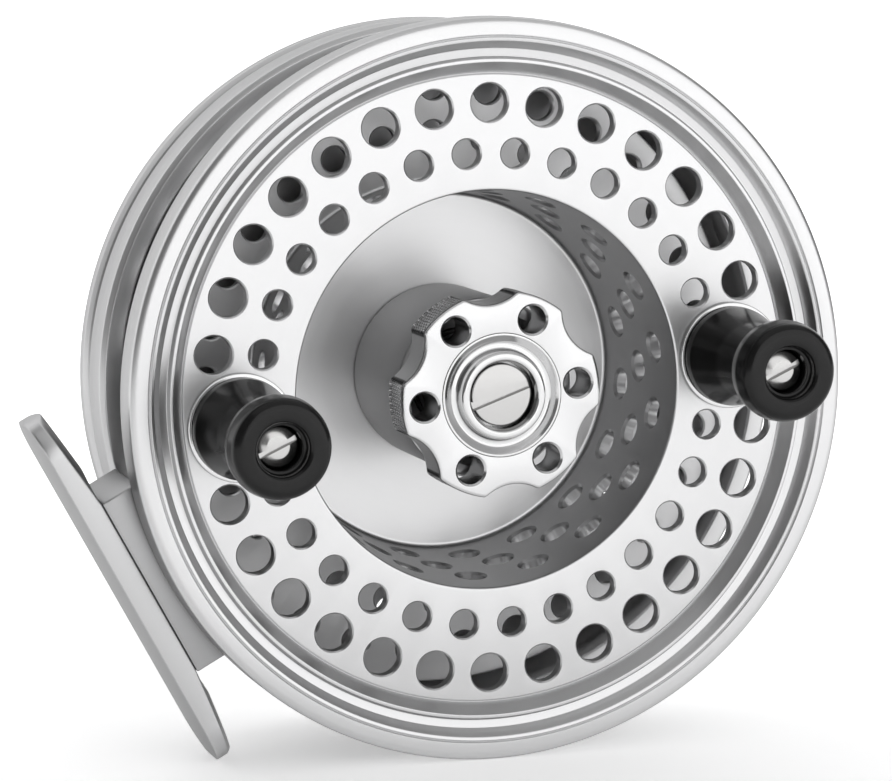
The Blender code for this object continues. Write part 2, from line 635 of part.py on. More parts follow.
def add_drag_stack(axis, finishes):
    """The drag, stacked on the spindle from the spool's hub forwards to the knob's neck."""
    steel = finishes["steel"]
    clutch_bore = SPINDLE_RADIUS + RUN
    turned("rear_bearing", bearing_outline(HUB_FRONT + GAP), steel, axis, SMALL_ROUND)

    cork_rear = HUB_FRONT - GAP
    cork_front = cork_rear - DISC_THICKNESS
    rear_cork = tube(DRAG_BORE_RADIUS, DRAG_DISC_RADIUS, cork_front, cork_rear)
    turned("rear_cork_disc", rear_cork, finishes["cork"], axis, SMALL_ROUND)

    plate_rear = cork_front - GAP
    plate_front = plate_rear - DRAG_PLATE_THICKNESS
    plate = tube(DRAG_BORE_RADIUS, DRAG_DISC_RADIUS, plate_front, plate_rear)
    turned("drag_plate", plate, steel, axis, SMALL_ROUND)

    front_rear = plate_front - GAP
    front_front = front_rear - DISC_THICKNESS
    front_cork = tube(DRAG_BORE_RADIUS, DRAG_DISC_RADIUS, front_front, front_rear)
    turned("front_cork_disc", front_cork, finishes["cork"], axis, SMALL_ROUND)
    clutch = tube(clutch_bore, CLUTCH_RADIUS, front_front, cork_rear)
    turned("one_way_clutch", clutch, steel, axis, SMALL_ROUND)

    shoulder_rear = front_front - GAP
    shoulder_front = shoulder_rear - DRAG_PLATE_THICKNESS
    seat = BEARING_RADIUS + RUN
    pressure = [
        (seat, shoulder_front - PRESSURE_WALL_LENGTH),
        (DRAG_DISC_RADIUS, shoulder_front - PRESSURE_WALL_LENGTH),
        (DRAG_DISC_RADIUS, shoulder_rear),
        (DRAG_BORE_RADIUS, shoulder_rear),
        (DRAG_BORE_RADIUS, shoulder_front),
        (seat, shoulder_front),
    ]
    turned("pressure_plate", pressure, finishes["satin"], axis, SMALL_ROUND)

    bearing_front = shoulder_front - GAP - BEARING_WIDTH
    turned("front_bearing", bearing_outline(bearing_front), steel, axis, SMALL_ROUND)

    second_outer = bearing_front - GAP - SPRING_THICKNESS
    second_inner = second_outer - SPRING_CONE
    first_inner = second_inner - GAP - SPRING_THICKNESS
    first_outer = first_inner - SPRING_CONE
    first = spring_washer_outline(first_inner, first_outer)
    turned("spring_washer_1", first, steel, axis, SMALL_ROUND)
    second = spring_washer_outline(second_inner, second_outer)
    turned("spring_washer_2", second, steel, axis, SMALL_ROUND)

    thrust_rear = first_outer - SPRING_TRAVEL
    thrust_front = thrust_rear - WASHER_THICKNESS
    washer = tube(clutch_bore, WASHER_RADIUS, thrust_front, thrust_rear)
    turned("thrust_washer", washer, steel, axis, SMALL_ROUND)
    return thrust_front - GAP


def add_drag_housing(axis, finishes):
    """The tube that stands on the cup's floor and holds the drag."""
    rear = CUP_FLOOR_DEPTH - GAP
    outline = [
        (HOUSING_BORE_RADIUS, HOUSING_FRONT),
        (HOUSING_RADIUS - 0.5 * MM, HOUSING_FRONT),
        (HOUSING_RADIUS, HOUSING_FRONT + 0.5 * MM),
        (HOUSING_RADIUS, rear),
        (HOUSING_BORE_RADIUS, rear),
    ]
    turned("drag_housing", outline, finishes["satin"], axis, 32)


def add_drag_knob(axis, finishes, neck_end):
    """The lobed drag knob with its neck, and the polished bezel in its front."""
    bore = SPINDLE_RADIUS + RUN
    outline = [
        (bore, neck_end),
        (KNOB_NECK_RADIUS, neck_end),
        (KNOB_NECK_RADIUS, KNOB_REAR),
        (KNOB_RADIUS - 0.3 * MM, KNOB_REAR),
        (KNOB_RADIUS, KNOB_REAR - 0.3 * MM),
        (KNOB_RADIUS, KNOB_FRONT + 0.4 * MM),
        (KNOB_RADIUS - 0.4 * MM, KNOB_FRONT),
        (BEZEL_RADIUS + GAP, KNOB_FRONT),
        (BEZEL_RADIUS + GAP, BEZEL_POCKET_FLOOR),
        (bore, BEZEL_POCKET_FLOOR),
    ]
    knob = turned("drag_knob", outline, finishes["satin"], axis)
    front, rear = KNOB_FRONT - REACH, KNOB_REAR + REACH
    scallops = []
    holes = []
    for lobe in range(KNOB_LOBES):
        angle = KNOB_HOLE_ANGLE + 360.0 * lobe / KNOB_LOBES
        between = angle + 180.0 / KNOB_LOBES
        scallops.append((on_circle(SCALLOP_CIRCLE, between, front), on_circle(SCALLOP_CIRCLE, between, rear)))
        holes.append((on_circle(KNOB_HOLE_CIRCLE, angle, front), on_circle(KNOB_HOLE_CIRCLE, angle, rear)))
    drill(knob, "knob_scallops", [(start, end, SCALLOP_RADIUS) for start, end in scallops], 28)
    drill(knob, "knob_drills", [(start, end, KNOB_HOLE_RADIUS) for start, end in holes], 10)

    floor = BEZEL_POCKET_FLOOR - GAP
    bezel = [
        (BEZEL_BORE_RADIUS, floor),
        (BEZEL_RADIUS, floor),
        (BEZEL_RADIUS, KNOB_FRONT - 0.1 * MM),
        (BEZEL_RADIUS - 0.3 * MM, KNOB_FRONT - 0.3 * MM),
        (BEZEL_BEAD_RADIUS + 1.0 * MM, KNOB_FRONT + 0.7 * MM),
        (BEZEL_BEAD_RADIUS + 0.5 * MM, BEZEL_FRONT + 0.3 * MM),
        (BEZEL_BEAD_RADIUS, BEZEL_FRONT),
        (BEZEL_BEAD_RADIUS - 0.8 * MM, BEZEL_FRONT + 0.1 * MM),
        (BEZEL_BORE_RADIUS, BEZEL_FRONT + 1.0 * MM),
    ]
    turned("knob_bezel", bezel, finishes["steel"], axis, 32)


def add_centre_screw(axis, finishes):
    """The slotted screw in the spindle's front end, which keeps the knob on."""
    head_rear = SPINDLE_FRONT - GAP
    shank_end = SPINDLE_FRONT + CENTRE_SCREW_SHANK_LENGTH
    outline = [
        (0.0, CENTRE_SCREW_FRONT),
        (CENTRE_SCREW_RADIUS - 0.3 * MM, CENTRE_SCREW_FRONT),
        (CENTRE_SCREW_RADIUS, CENTRE_SCREW_FRONT + 0.3 * MM),
        (CENTRE_SCREW_RADIUS, head_rear),
        (CENTRE_SCREW_SHANK_RADIUS, head_rear),
        (CENTRE_SCREW_SHANK_RADIUS, shank_end),
        (0.0, shank_end),
    ]
    screw = turned("centre_screw", outline, finishes["steel"], axis, SMALL_ROUND)
    slot(screw, "centre_screw_slot", SLOT_WIDTH, CENTRE_SCREW_FRONT, 0.7 * MM, 3 * CENTRE_SCREW_RADIUS, 20.0)


def handle_outline():
    """A spool-shaped handle knob: flared foot, waist, and a round bead with a counterbored end."""
    near = -(GAP + HANDLE_SEAT_THICKNESS + GAP)
    end = HANDLE_END
    bore = HANDLE_POST_RADIUS + RUN
    head_bore = HANDLE_COUNTERBORE_RADIUS
    bead = HANDLE_BEAD_ROUND
    bead_centre = end + bead
    outline = [
        (bore, near),
        (HANDLE_FOOT_RADIUS - 0.4 * MM, near),
        (HANDLE_FOOT_RADIUS, near - 0.4 * MM),
        (HANDLE_FOOT_RADIUS - 0.5 * MM, near - 3.0 * MM),
        (HANDLE_WAIST_RADIUS + 0.8 * MM, near - 7.5 * MM),
        (HANDLE_WAIST_RADIUS, near - 12.5 * MM),
        (HANDLE_WAIST_RADIUS + 0.3 * MM, bead_centre + bead),
    ]
    for degrees in (130.0, 100.0, 70.0, 35.0, 0.0):
        angle = math.radians(degrees)
        radius = HANDLE_BEAD_RADIUS - bead * (1 - math.sin(angle))
        outline.append((radius, bead_centre - bead * math.cos(angle)))
    outline += [
        (head_bore + 0.3 * MM, end),
        (head_bore, end + 0.3 * MM),
        (head_bore, end + HANDLE_COUNTERBORE_DEPTH),
        (bore, end + HANDLE_COUNTERBORE_DEPTH),
    ]
    return outline


def add_handle(letter, angle, axis, finishes):
    """One handle: the knob, its seat ring, its post and the screw that keeps the knob on."""
    centre = on_circle(HANDLE_CIRCLE, angle)
    turned(f"handle_knob_{letter}", handle_outline(), finishes["black"], axis, SMALL_ROUND, centre)

    seat_front = -(GAP + HANDLE_SEAT_THICKNESS)
    seat = tube(HANDLE_POST_RADIUS + GAP, HANDLE_SEAT_RADIUS, seat_front, -GAP)
    turned(f"handle_seat_{letter}", seat, finishes["steel"], axis, SMALL_ROUND, centre)

    floor = HANDLE_END + HANDLE_COUNTERBORE_DEPTH
    post_front = floor - 0.4 * MM
    tap = HANDLE_SCREW_SHANK_RADIUS + GAP
    tap_end = post_front + 8.0 * MM
    post = [
        (0.0, tap_end),
        (tap, tap_end),
        (tap, post_front),
        (HANDLE_POST_RADIUS, post_front),
        (HANDLE_POST_RADIUS, FACE_THICKNESS - 0.2 * MM),
        (0.0, FACE_THICKNESS - 0.2 * MM),
    ]
    turned(f"handle_post_{letter}", post, finishes["steel"], axis, SCREW_ROUND, centre)

    head_rear = post_front - GAP
    head_front = head_rear - HANDLE_SCREW_HEAD_HEIGHT
    screw = [
        (0.0, head_front),
        (HANDLE_SCREW_HEAD_RADIUS - 0.4 * MM, head_front),
        (HANDLE_SCREW_HEAD_RADIUS, head_front + 0.4 * MM),
        (HANDLE_SCREW_HEAD_RADIUS, head_rear),
        (HANDLE_SCREW_SHANK_RADIUS, head_rear),
        (HANDLE_SCREW_SHANK_RADIUS, tap_end - 1.5 * MM),
        (0.0, tap_end - 1.5 * MM),
    ]
    solid = turned(f"handle_screw_{letter}", screw, finishes["steel"], axis, SCREW_ROUND, centre)
    name = f"handle_screw_slot_{letter}"
    slot(solid, name, 0.9 * MM, head_front, 0.6 * MM, 3 * HANDLE_SCREW_HEAD_RADIUS, 25.0)


def add_click_gear(axis, finishes):
    """The toothed click gear on the spool's rear hub."""
    bore = GEAR_SEAT_RADIUS + GAP
    step = 360.0 / CLICK_TEETH
    radii = ((0.0, CLICK_ROOT_RADIUS), (0.4, CLICK_TIP_RADIUS), (0.6, CLICK_TIP_RADIUS))
    spokes = []
    for tooth in range(CLICK_TEETH):
        for share, radius in radii:
            spokes.append(((tooth + share) * step, radius))
    bm = bmesh.new()
    front, rear = CLICK_FRONT, CLICK_FRONT + CLICK_THICKNESS
    columns = []
    for angle, radius in spokes:
        column = [(bore, front), (radius, front), (radius, rear), (bore, rear)]
        columns.append([bm.verts.new(on_circle(spoke, angle, depth)) for spoke, depth in column])
    for column, following in zip(columns, columns[1:] + columns[:1]):
        for index in range(4):
            after = (index + 1) % 4
            bm.faces.new((column[index], column[after], following[after], following[index]))
    add_solid("click_gear", bm, finishes["brass"], axis)


def add_click_pawl(axis, finishes):
    """The sprung pawl that clicks over the gear's teeth, its pin, and the spring beside it."""
    place = pawl_pin_place()
    depth = CLICK_FRONT + (CLICK_THICKNESS - PAWL_THICKNESS) / 2
    reach_in = PAWL_CIRCLE - CLICK_TIP_RADIUS - GAP
    inward = -direction(PAWL_ANGLE)
    side = direction(PAWL_ANGLE + 90.0)
    tip = [inward * reach_in + side * 0.35 * MM, inward * reach_in - side * 0.35 * MM]
    body = []
    for degrees in (-70.0, -30.0, 10.0, 55.0, 125.0, 170.0, 210.0, 250.0):
        angle = math.radians(degrees)
        body.append(side * PAWL_RADIUS * math.cos(angle) - inward * PAWL_RADIUS * math.sin(angle))
    bm = bmesh.new()
    extruded_mesh(bm, [(point.x, point.z) for point in body + tip[::-1]], depth, depth + PAWL_THICKNESS)
    pawl = add_solid("click_pawl", bm, finishes["steel"], axis, place)
    start = Vector((0.0, depth - REACH, 0.0))
    end = Vector((0.0, depth + PAWL_THICKNESS + REACH, 0.0))
    drill(pawl, "pawl_bore", [(start, end, PAWL_PIN_RADIUS + GAP)], SCREW_ROUND)

    pin_end = FRAME_REAR - PLATE_RECESS - 0.1 * MM
    head = depth - GAP - 0.1 * MM
    pin = tube(0.0, PAWL_PIN_RADIUS, head, pin_end)
    turned("pawl_pin", pin, finishes["steel"], axis, SCREW_ROUND, place)

    post = tube(0.0, SPRING_POST_RADIUS, CLICK_FRONT, pin_end)
    turned("spring_post", post, finishes["steel"], axis, SCREW_ROUND, spring_post_place())
    add_click_spring(axis, finishes, depth + PAWL_THICKNESS / 2)


def add_click_spring(axis, finishes, depth):
    """The wire spring: a coil round its post and a leg that lies along the pawl's outer side."""
    coil = SPRING_POST_RADIUS + GAP + SPRING_WIRE_RADIUS
    turns = 2
    pitch = 2 * SPRING_WIRE_RADIUS + 0.35 * MM
    side = direction(PAWL_ANGLE + 90.0)
    outward = direction(PAWL_ANGLE)
    leg_height = PAWL_RADIUS + GAP + SPRING_WIRE_RADIUS
    points = []
    steps = 12
    for step in range(turns * steps + 1):
        angle = 2 * math.pi * step / steps
        turn = outward * coil * math.cos(angle) + side * coil * math.sin(angle)
        points.append(turn + Vector((0.0, pitch * (turns - step / steps), 0.0)))
    reach = SPRING_POST_SIDE_STEP + PAWL_RADIUS / 2
    for share in (0.35, 0.7, 1.0):
        rise = (leg_height - coil) * share
        points.append(outward * (coil + rise) - side * reach * share)
    curve = bpy.data.curves.new("click_spring", "CURVE")
    curve.dimensions = "3D"
    curve.bevel_depth = SPRING_WIRE_RADIUS
    curve.bevel_resolution = 1
    curve.use_fill_caps = True
    spline = curve.splines.new("POLY")
    spline.points.add(len(points) - 1)
    for target, point in zip(spline.points, points):
        target.co = (*point, 1.0)
    spring = bpy.data.objects.new("click_spring", curve)
    bpy.context.scene.collection.objects.link(spring)
    spring.parent = axis
    spring.location = spring_post_place() + Vector((0.0, depth, 0.0))
    curve.materials.append(finishes["steel"])


def add_axis_empty():
    """The empty on the spool's axis, placed so that the reel stands centred over the origin."""
    out, along = foot_axes()
    left_end = out * FOOT_OUTER_RADIUS - along * FOOT_LENGTH / 2
    axis = bpy.data.objects.new("reel_axis", None)
    bpy.context.scene.collection.objects.link(axis)
    axis.location = (-(left_end.x + RIM_RADIUS) / 2, -(HANDLE_END + FRAME_REAR) / 2, RIM_RADIUS)
    return axis


def main():
    for obj in list(bpy.data.objects):
        bpy.data.objects.remove(obj, do_unlink=True)
    finishes = make_finishes()
    axis = add_axis_empty()
    add_frame(axis, finishes)
    add_reel_foot(axis, finishes)
    add_foot_screws(axis, finishes)
    add_spindle(axis, finishes)
    add_spool(axis, finishes)
    add_drag_housing(axis, finishes)
    neck_end = add_drag_stack(axis, finishes)
    add_drag_knob(axis, finishes, neck_end)
    add_centre_screw(axis, finishes)
    for letter, angle in (("a", HANDLE_ANGLE), ("b", HANDLE_ANGLE + 180.0)):
        add_handle(letter, angle, axis, finishes)
    add_click_gear(axis, finishes)
    add_click_pawl(axis, finishes)
    bpy.context.view_layer.update()


main()
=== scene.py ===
"""Looks of a large-arbor fly reel: turned and drilled aluminium, black handles, a knurled drag knob.

Sizes are in millimetres until a mesh is finished. A turned piece is made round its own Z axis, which
is then laid along the reel's axis, so its depth grows from the handle side towards the back plate.
"""

import logging
import math
from dataclasses import dataclass, field
from enum import Enum
from typing import Callable, Iterable, Sequence

import bmesh
import bpy
from mathutils import Matrix, Vector


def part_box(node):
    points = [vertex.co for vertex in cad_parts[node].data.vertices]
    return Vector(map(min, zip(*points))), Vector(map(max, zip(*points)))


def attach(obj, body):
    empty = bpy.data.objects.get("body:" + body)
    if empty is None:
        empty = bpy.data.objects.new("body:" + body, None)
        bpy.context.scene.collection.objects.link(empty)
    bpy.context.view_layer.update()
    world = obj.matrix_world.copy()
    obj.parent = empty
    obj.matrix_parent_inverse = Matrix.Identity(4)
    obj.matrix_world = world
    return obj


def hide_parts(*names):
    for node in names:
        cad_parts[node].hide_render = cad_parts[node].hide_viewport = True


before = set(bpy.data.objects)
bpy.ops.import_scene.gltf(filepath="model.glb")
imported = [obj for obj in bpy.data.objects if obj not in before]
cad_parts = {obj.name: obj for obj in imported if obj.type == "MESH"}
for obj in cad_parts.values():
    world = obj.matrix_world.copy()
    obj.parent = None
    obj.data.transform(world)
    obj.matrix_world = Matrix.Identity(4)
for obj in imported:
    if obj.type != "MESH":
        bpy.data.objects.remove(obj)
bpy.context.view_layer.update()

MM = 0.001
log = logging.getLogger("fly_reel")

Outline = list[tuple[float, float]]
Stop = tuple[float, tuple[float, float, float]]
Rim = Callable[[float, float, float], float]


# Shader expressions


class Wire:
    """A shader socket that takes part in Python arithmetic."""

    def __init__(self, bench: "Bench", socket: bpy.types.NodeSocket) -> None:
        """Wraps one output socket.

        Args:
            bench: The material's node bench, which adds the maths nodes.
            socket: The output socket.
        """
        self.bench = bench
        self.socket = socket

    def _math(self, operation: str, *others: "Wire | float", first: "Wire | float | None" = None) -> "Wire":
        """Adds one Math node.

        Args:
            operation: The Math node's operation.
            others: What follows this value in the node's sockets.
            first: What comes before this value, for a reflected operator.

        Returns:
            The node's result.
        """
        values = [self, *others] if first is None else [first, self, *others]
        return self.bench.add("ShaderNodeMath", {"operation": operation}, dict(enumerate(values)))

    def __add__(self, other: "Wire | float") -> "Wire":
        """Sum."""
        return self._math("ADD", other)

    __radd__ = __add__

    def __sub__(self, other: "Wire | float") -> "Wire":
        """Difference."""
        return self._math("SUBTRACT", other)

    def __rsub__(self, other: float) -> "Wire":
        """Difference from a number."""
        return self._math("SUBTRACT", first=other)

    def __mul__(self, other: "Wire | float") -> "Wire":
        """Product."""
        return self._math("MULTIPLY", other)

    __rmul__ = __mul__

    def __truediv__(self, other: "Wire | float") -> "Wire":
        """Quotient."""
        return self._math("DIVIDE", other)

    def __pow__(self, other: float) -> "Wire":
        """Power."""
        return self._math("POWER", other)

    def at_most(self, other: "Wire | float") -> "Wire":
        """The smaller of the two."""
        return self._math("MINIMUM", other)

    def at_least(self, other: "Wire | float") -> "Wire":
        """The larger of the two."""
        return self._math("MAXIMUM", other)

    def angle_with(self, other: "Wire") -> "Wire":
        """The angle of the point (other, self), in radians."""
        return self._math("ARCTAN2", other)

    def ramp(self, low: float, high: float) -> "Wire":
        """A smooth step.

        Args:
            low: The value where the result is 0.
            high: The value where the result is 1.

        Returns:
            A value from 0 to 1.
        """
        settings = {"interpolation_type": "SMOOTHSTEP"}
        inputs = {"Value": self, "From Min": low, "From Max": high}
        return self.bench.add("ShaderNodeMapRange", settings, inputs)


class Bench:
    """One material's nodes, and the expressions that feed its shader."""

    def __init__(self, name: str) -> None:
        """Starts a material with a Principled shader.

        Args:
            name: The material's name.
        """
        self.material = bpy.data.materials.new(name)
        self.material.use_nodes = True
        self.tree = self.material.node_tree
        self.shader = self.tree.nodes["Principled BSDF"]

    def add(
        self,
        kind: str,
        settings: dict[str, object] | None = None,
        inputs: dict[str | int, object] | None = None,
        output: str | int = 0,
    ) -> Wire:
        """Adds a node.

        Args:
            kind: The node's type.
            settings: Its properties, or a ramp's stops under "stops", which are set first.
            inputs: Its sockets' values, or the wires that feed them, by name or place.
            output: The output that is wanted.

        Returns:
            That output.
        """
        node = self.tree.nodes.new(kind)
        for key, value in (settings or {}).items():
            if key == "stops":
                self._set_stops(node, value)
            else:
                setattr(node, key, value)
        for key, value in (inputs or {}).items():
            self._feed(node.inputs[key], value)
        return Wire(self, node.outputs[output])

    def _set_stops(self, node: bpy.types.Node, stops: Sequence[Stop]) -> None:
        """Sets a colour ramp's stops.

        Args:
            node: The colour ramp.
            stops: Each stop's place and colour.
        """
        elements = node.color_ramp.elements
        while len(elements) < len(stops):
            elements.new(1.0)
        for element, (place, colour) in zip(elements, stops):
            element.position = place
            element.color = (*colour, 1.0)

    def _feed(self, socket: bpy.types.NodeSocket, value: object) -> None:
        """Links a wire to a socket, or sets the socket's value.

        Args:
            socket: The input socket.
            value: A wire, or the value itself.
        """
        if isinstance(value, Wire):
            self.tree.links.new(value.socket, socket)
        else:
            socket.default_value = value

    def dress(self, **inputs: object) -> None:
        """Feeds the Principled shader.

        Args:
            inputs: Socket names, with underscores for spaces, and what feeds each.
        """
        for key, value in inputs.items():
            if isinstance(value, tuple) and len(value) == 3 and "Color" in key:
                value = (*value, 1.0)
            self._feed(self.shader.inputs[key.replace("_", " ")], value)

    def coordinates(self) -> Wire:
        """The piece's own coordinates, in metres."""
        return self.add("ShaderNodeTexCoord", output="Object")

    def shifted(self, vector: Wire, centre: Vector) -> Wire:
        """A vector counted from another centre."""
        return self.add("ShaderNodeVectorMath", {"operation": "SUBTRACT"}, {0: vector, 1: tuple(centre)})

    def stretched(self, vector: Wire, scale: tuple[float, float, float]) -> Wire:
        """A vector multiplied part by part."""
        return self.add("ShaderNodeVectorMath", {"operation": "MULTIPLY"}, {0: vector, 1: scale})

    def split(self, vector: Wire) -> tuple[Wire, Wire, Wire]:
        """A vector's three parts."""
        node = self.add("ShaderNodeSeparateXYZ", inputs={0: vector}).socket.node
        return tuple(Wire(self, output) for output in node.outputs)

    def joined(self, x: Wire | float, y: Wire | float, z: Wire | float) -> Wire:
        """A vector from three parts."""
        return self.add("ShaderNodeCombineXYZ", inputs={0: x, 1: y, 2: z})

    def noise(self, vector: Wire, scale: float, detail: float = 3.0, roughness: float = 0.5) -> Wire:
        """Smooth random variation.

        Args:
            vector: The coordinates.
            scale: How many features fit in a metre.
            detail: How many finer layers are added.
            roughness: How strong the finer layers are.

        Returns:
            A value from 0 to 1, mostly near 0.5.
        """
        inputs = {"Vector": vector, "Scale": scale, "Detail": detail, "Roughness": roughness}
        return self.add("ShaderNodeTexNoise", {}, inputs)

    def blend(self, share: Wire | float, first: object, second: object) -> Wire:
        """A mix of two colours.

        Args:
            share: How much of the second colour shows.
            first: A colour or a wire.
            second: A colour or a wire.

        Returns:
            The mixed colour.
        """
        colours = [(*value, 1.0) if isinstance(value, tuple) else value for value in (first, second)]
        settings = {"data_type": "RGBA"}
        return self.add("ShaderNodeMix", settings, {0: share, 6: colours[0], 7: colours[1]}, output=2)

    def bump(self, height: Wire, distance: float, strength: float = 1.0) -> Wire:
        """A normal from a height.

        Args:
            height: The height, from 0 to 1.
            distance: What a height of 1 stands for, in metres.
            strength: How much of it shows.

        Returns:
            The normal.
        """
        inputs = {"Height": height, "Distance": distance, "Strength": strength}
        return self.add("ShaderNodeBump", {}, inputs)


class Grain(Enum):
    """The way that a cutter or a brush has left its marks."""

    TURNED = "round the piece's axis"
    BRUSHED = "along the piece's own X axis"
    PLAIN = "in no direction"


@dataclass(frozen=True)
class Seat:
    """Where a material's axis lies in a piece's own coordinates."""

    centre: Vector = field(default_factory=Vector)
    along_row_y: bool = False

    def polar(self, bench: Bench) -> tuple[Wire, Wire, Wire]:
        """Coordinates about the axis.

        Args:
            bench: The material's bench.

        Returns:
            The radius, the angle in radians and the depth.
        """
        x, y, z = bench.split(bench.shifted(bench.coordinates(), self.centre))
        across, depth = (z, y) if self.along_row_y else (y, z)
        return (x * x + across * across) ** 0.5, across.angle_with(x), depth


@dataclass(frozen=True)
class Metal:
    """Machined metal, with the marks of its cutter, faint handling marks and slight tone changes."""

    name: str
    colour: tuple[float, float, float]
    roughness: float
    grain: Grain = Grain.TURNED
    anisotropy: float = 0.0
    groove: float = 0.0006
    groove_pitch: float = 0.22
    band: float = 0.03
    smudge: float = 0.015
    edge: tuple[float, float, float] = (0.45, 0.45, 0.45)
    clouds: float = 38.0
    specks: float = 2600.0
    coarser: float = 9.0
    darkest: float = 0.93
    lightest: float = 1.05
    middle_tone: float = 0.55
    cloud_tone: float = 0.25
    groove_tone: float = 0.35
    speck_tone: float = 0.15
    groove_height: float = 0.7
    speck_height: float = 0.3
    roughness_limits: tuple[float, float] = (0.05, 0.9)

    def material(self, seat: Seat = Seat()) -> bpy.types.Material:
        """Makes the material.

        Args:
            seat: Where the turning axis lies in the piece's own coordinates.

        Returns:
            The material.
        """
        bench = Bench(self.name)
        radius, _, depth = seat.polar(bench)
        coordinates = bench.coordinates()
        fine = self._marks(bench, radius, depth, coordinates, self.groove_pitch * MM)
        coarse = self._marks(bench, radius, depth, coordinates, self.coarser * self.groove_pitch * MM)
        cloud = bench.noise(coordinates, self.clouds, 4.0, 0.6)
        speck = bench.noise(coordinates, self.specks, 2.0)
        tone = (cloud - 0.5) * self.cloud_tone + (coarse - 0.5) * self.groove_tone
        tone = tone + (speck - 0.5) * self.speck_tone
        dark = tuple(part * self.darkest for part in self.colour)
        light = tuple(min(part * self.lightest, 1.0) for part in self.colour)
        roughness = (coarse - 0.5) * self.band + (cloud - 0.5) * (2 * self.smudge) + self.roughness
        height = fine * self.groove_height + speck * self.speck_height
        colour = bench.blend((tone + self.middle_tone).at_least(0.0).at_most(1.0), dark, light)
        bench.dress(
            # The base colour can carry painted shade in hollows, as the knurled knob's does.
            Base_Color=self.with_painted_shade(bench, radius, depth, colour),
            Metallic=1.0,
            Roughness=roughness.at_least(self.roughness_limits[0]).at_most(self.roughness_limits[1]),
            Normal=bench.bump(height, self.groove * MM * 3),
            Specular_Tint=(*self.edge, 1.0),
        )
        if self.anisotropy:
            bench.dress(Anisotropic=self.anisotropy, Anisotropic_Rotation=0.25)
        return bench.material

    def with_painted_shade(self, bench: Bench, radius: Wire, depth: Wire, colour: Wire) -> Wire:
        """The colour with painted shade in the metal's hollows.

        Args:
            bench: The material's bench.
            radius: The distance from the axis.
            depth: The distance along the axis.
            colour: The clean metal's colour.

        Returns:
            The same colour, because plain metal has no painted shade.
        """
        return colour

    def _marks(self, bench: Bench, radius: Wire, depth: Wire, plain: Wire, pitch: float) -> Wire:
        """The cutter's marks, as a noise that varies only across them.

        Args:
            bench: The material's bench.
            radius: The distance from the axis.
            depth: The distance along the axis.
            plain: The piece's own coordinates.
            pitch: The usual distance between marks, in metres.

        Returns:
            A value from 0 to 1.
        """
        if self.grain is Grain.TURNED:
            return bench.noise(bench.joined(radius, depth, 0.0), 1.0 / pitch, 2.0)
        if self.grain is Grain.BRUSHED:
            return bench.noise(bench.stretched(plain, (0.02, 1.0, 1.0)), 1.0 / pitch, 2.0)
        return bench.noise(plain, 1.0 / pitch, 2.0)


@dataclass(frozen=True)
class KnurledMetal(Metal):
    """Metal with a knurled rim, whose grooves are painted darker: painted shade that stands in for the
    knurl's play of light.
    """

    tip: float = 15.3
    floor: float = 14.9
    front: float = -5.2
    groove_shade: float = 0.22
    groove_blur: float = 0.05
    rim_blur: float = 0.15

    def with_painted_shade(self, bench: Bench, radius: Wire, depth: Wire, colour: Wire) -> Wire:
        """The colour with painted shade in the grooves.

        Args:
            bench: The material's bench.
            radius: The distance from the axis.
            depth: The distance along the axis.
            colour: The clean metal's colour.

        Returns:
            The colour, darker the deeper a place lies in the knurl: painted shade.
        """
        # Painted shade: the knurl's grooves are darkened in the colour, where light would leave them dim.
        groove = 1.0 - radius.ramp((self.floor + self.groove_blur) * MM, (self.tip - self.groove_blur) * MM)
        rim = radius.ramp((self.floor - 2 * self.rim_blur) * MM, (self.floor - self.rim_blur) * MM)
        side = depth.ramp((self.front - self.rim_blur) * MM, (self.front + self.rim_blur) * MM)
        return bench.blend(groove * rim * side, colour, bench.stretched(colour, (self.groove_shade,) * 3))


@dataclass(frozen=True)
class BlackLacquer:
    """Deep black with a soft gloss, fine turning marks under it, a slight orange peel, and faint grey streaks
    along its axis that are a painted reflection.
    """

    name: str
    roughness: float
    deep: tuple[float, float, float] = (0.002, 0.002, 0.0022)
    reflection_streak_grey: tuple[float, float, float] = (0.008, 0.0078, 0.0078)
    turning_marks: float = 4200.0
    streaks: float = 900.0
    peel: float = 700.0
    clouds: float = 110.0

    def material(self, seat: Seat = Seat()) -> bpy.types.Material:
        """Makes the material.

        Args:
            seat: Where the turning axis lies in the piece's own coordinates.

        Returns:
            The material.
        """
        bench = Bench(self.name)
        radius, angle, depth = seat.polar(bench)
        coordinates = bench.coordinates()
        turning = bench.noise(bench.joined(radius, depth, 0.0), self.turning_marks, 2.0)
        drawn_out = bench.joined(angle * 0.012, radius * 0.3, depth * 0.06)
        streak = bench.noise(drawn_out, self.streaks, 3.0, 0.6)
        peel = bench.noise(coordinates, self.peel, 2.0)
        cloud = bench.noise(coordinates, self.clouds, 3.0)
        bench.dress(
            # The base colour mixes random clouds of tone with streaks drawn out along the axis; the streaks
            # are a painted reflection.
            Base_Color=bench.blend((streak * 0.8 + cloud * 0.3).at_most(1.0), self.deep, self.reflection_streak_grey),
            Roughness=(cloud - 0.5) * 0.12 + (streak - 0.5) * 0.08 + self.roughness,
            Normal=bench.bump(peel * 0.7 + turning * 0.3, 0.012 * MM),
            Specular_IOR_Level=0.2,
            Coat_Weight=0.1,
            Coat_Roughness=0.12,
        )
        return bench.material


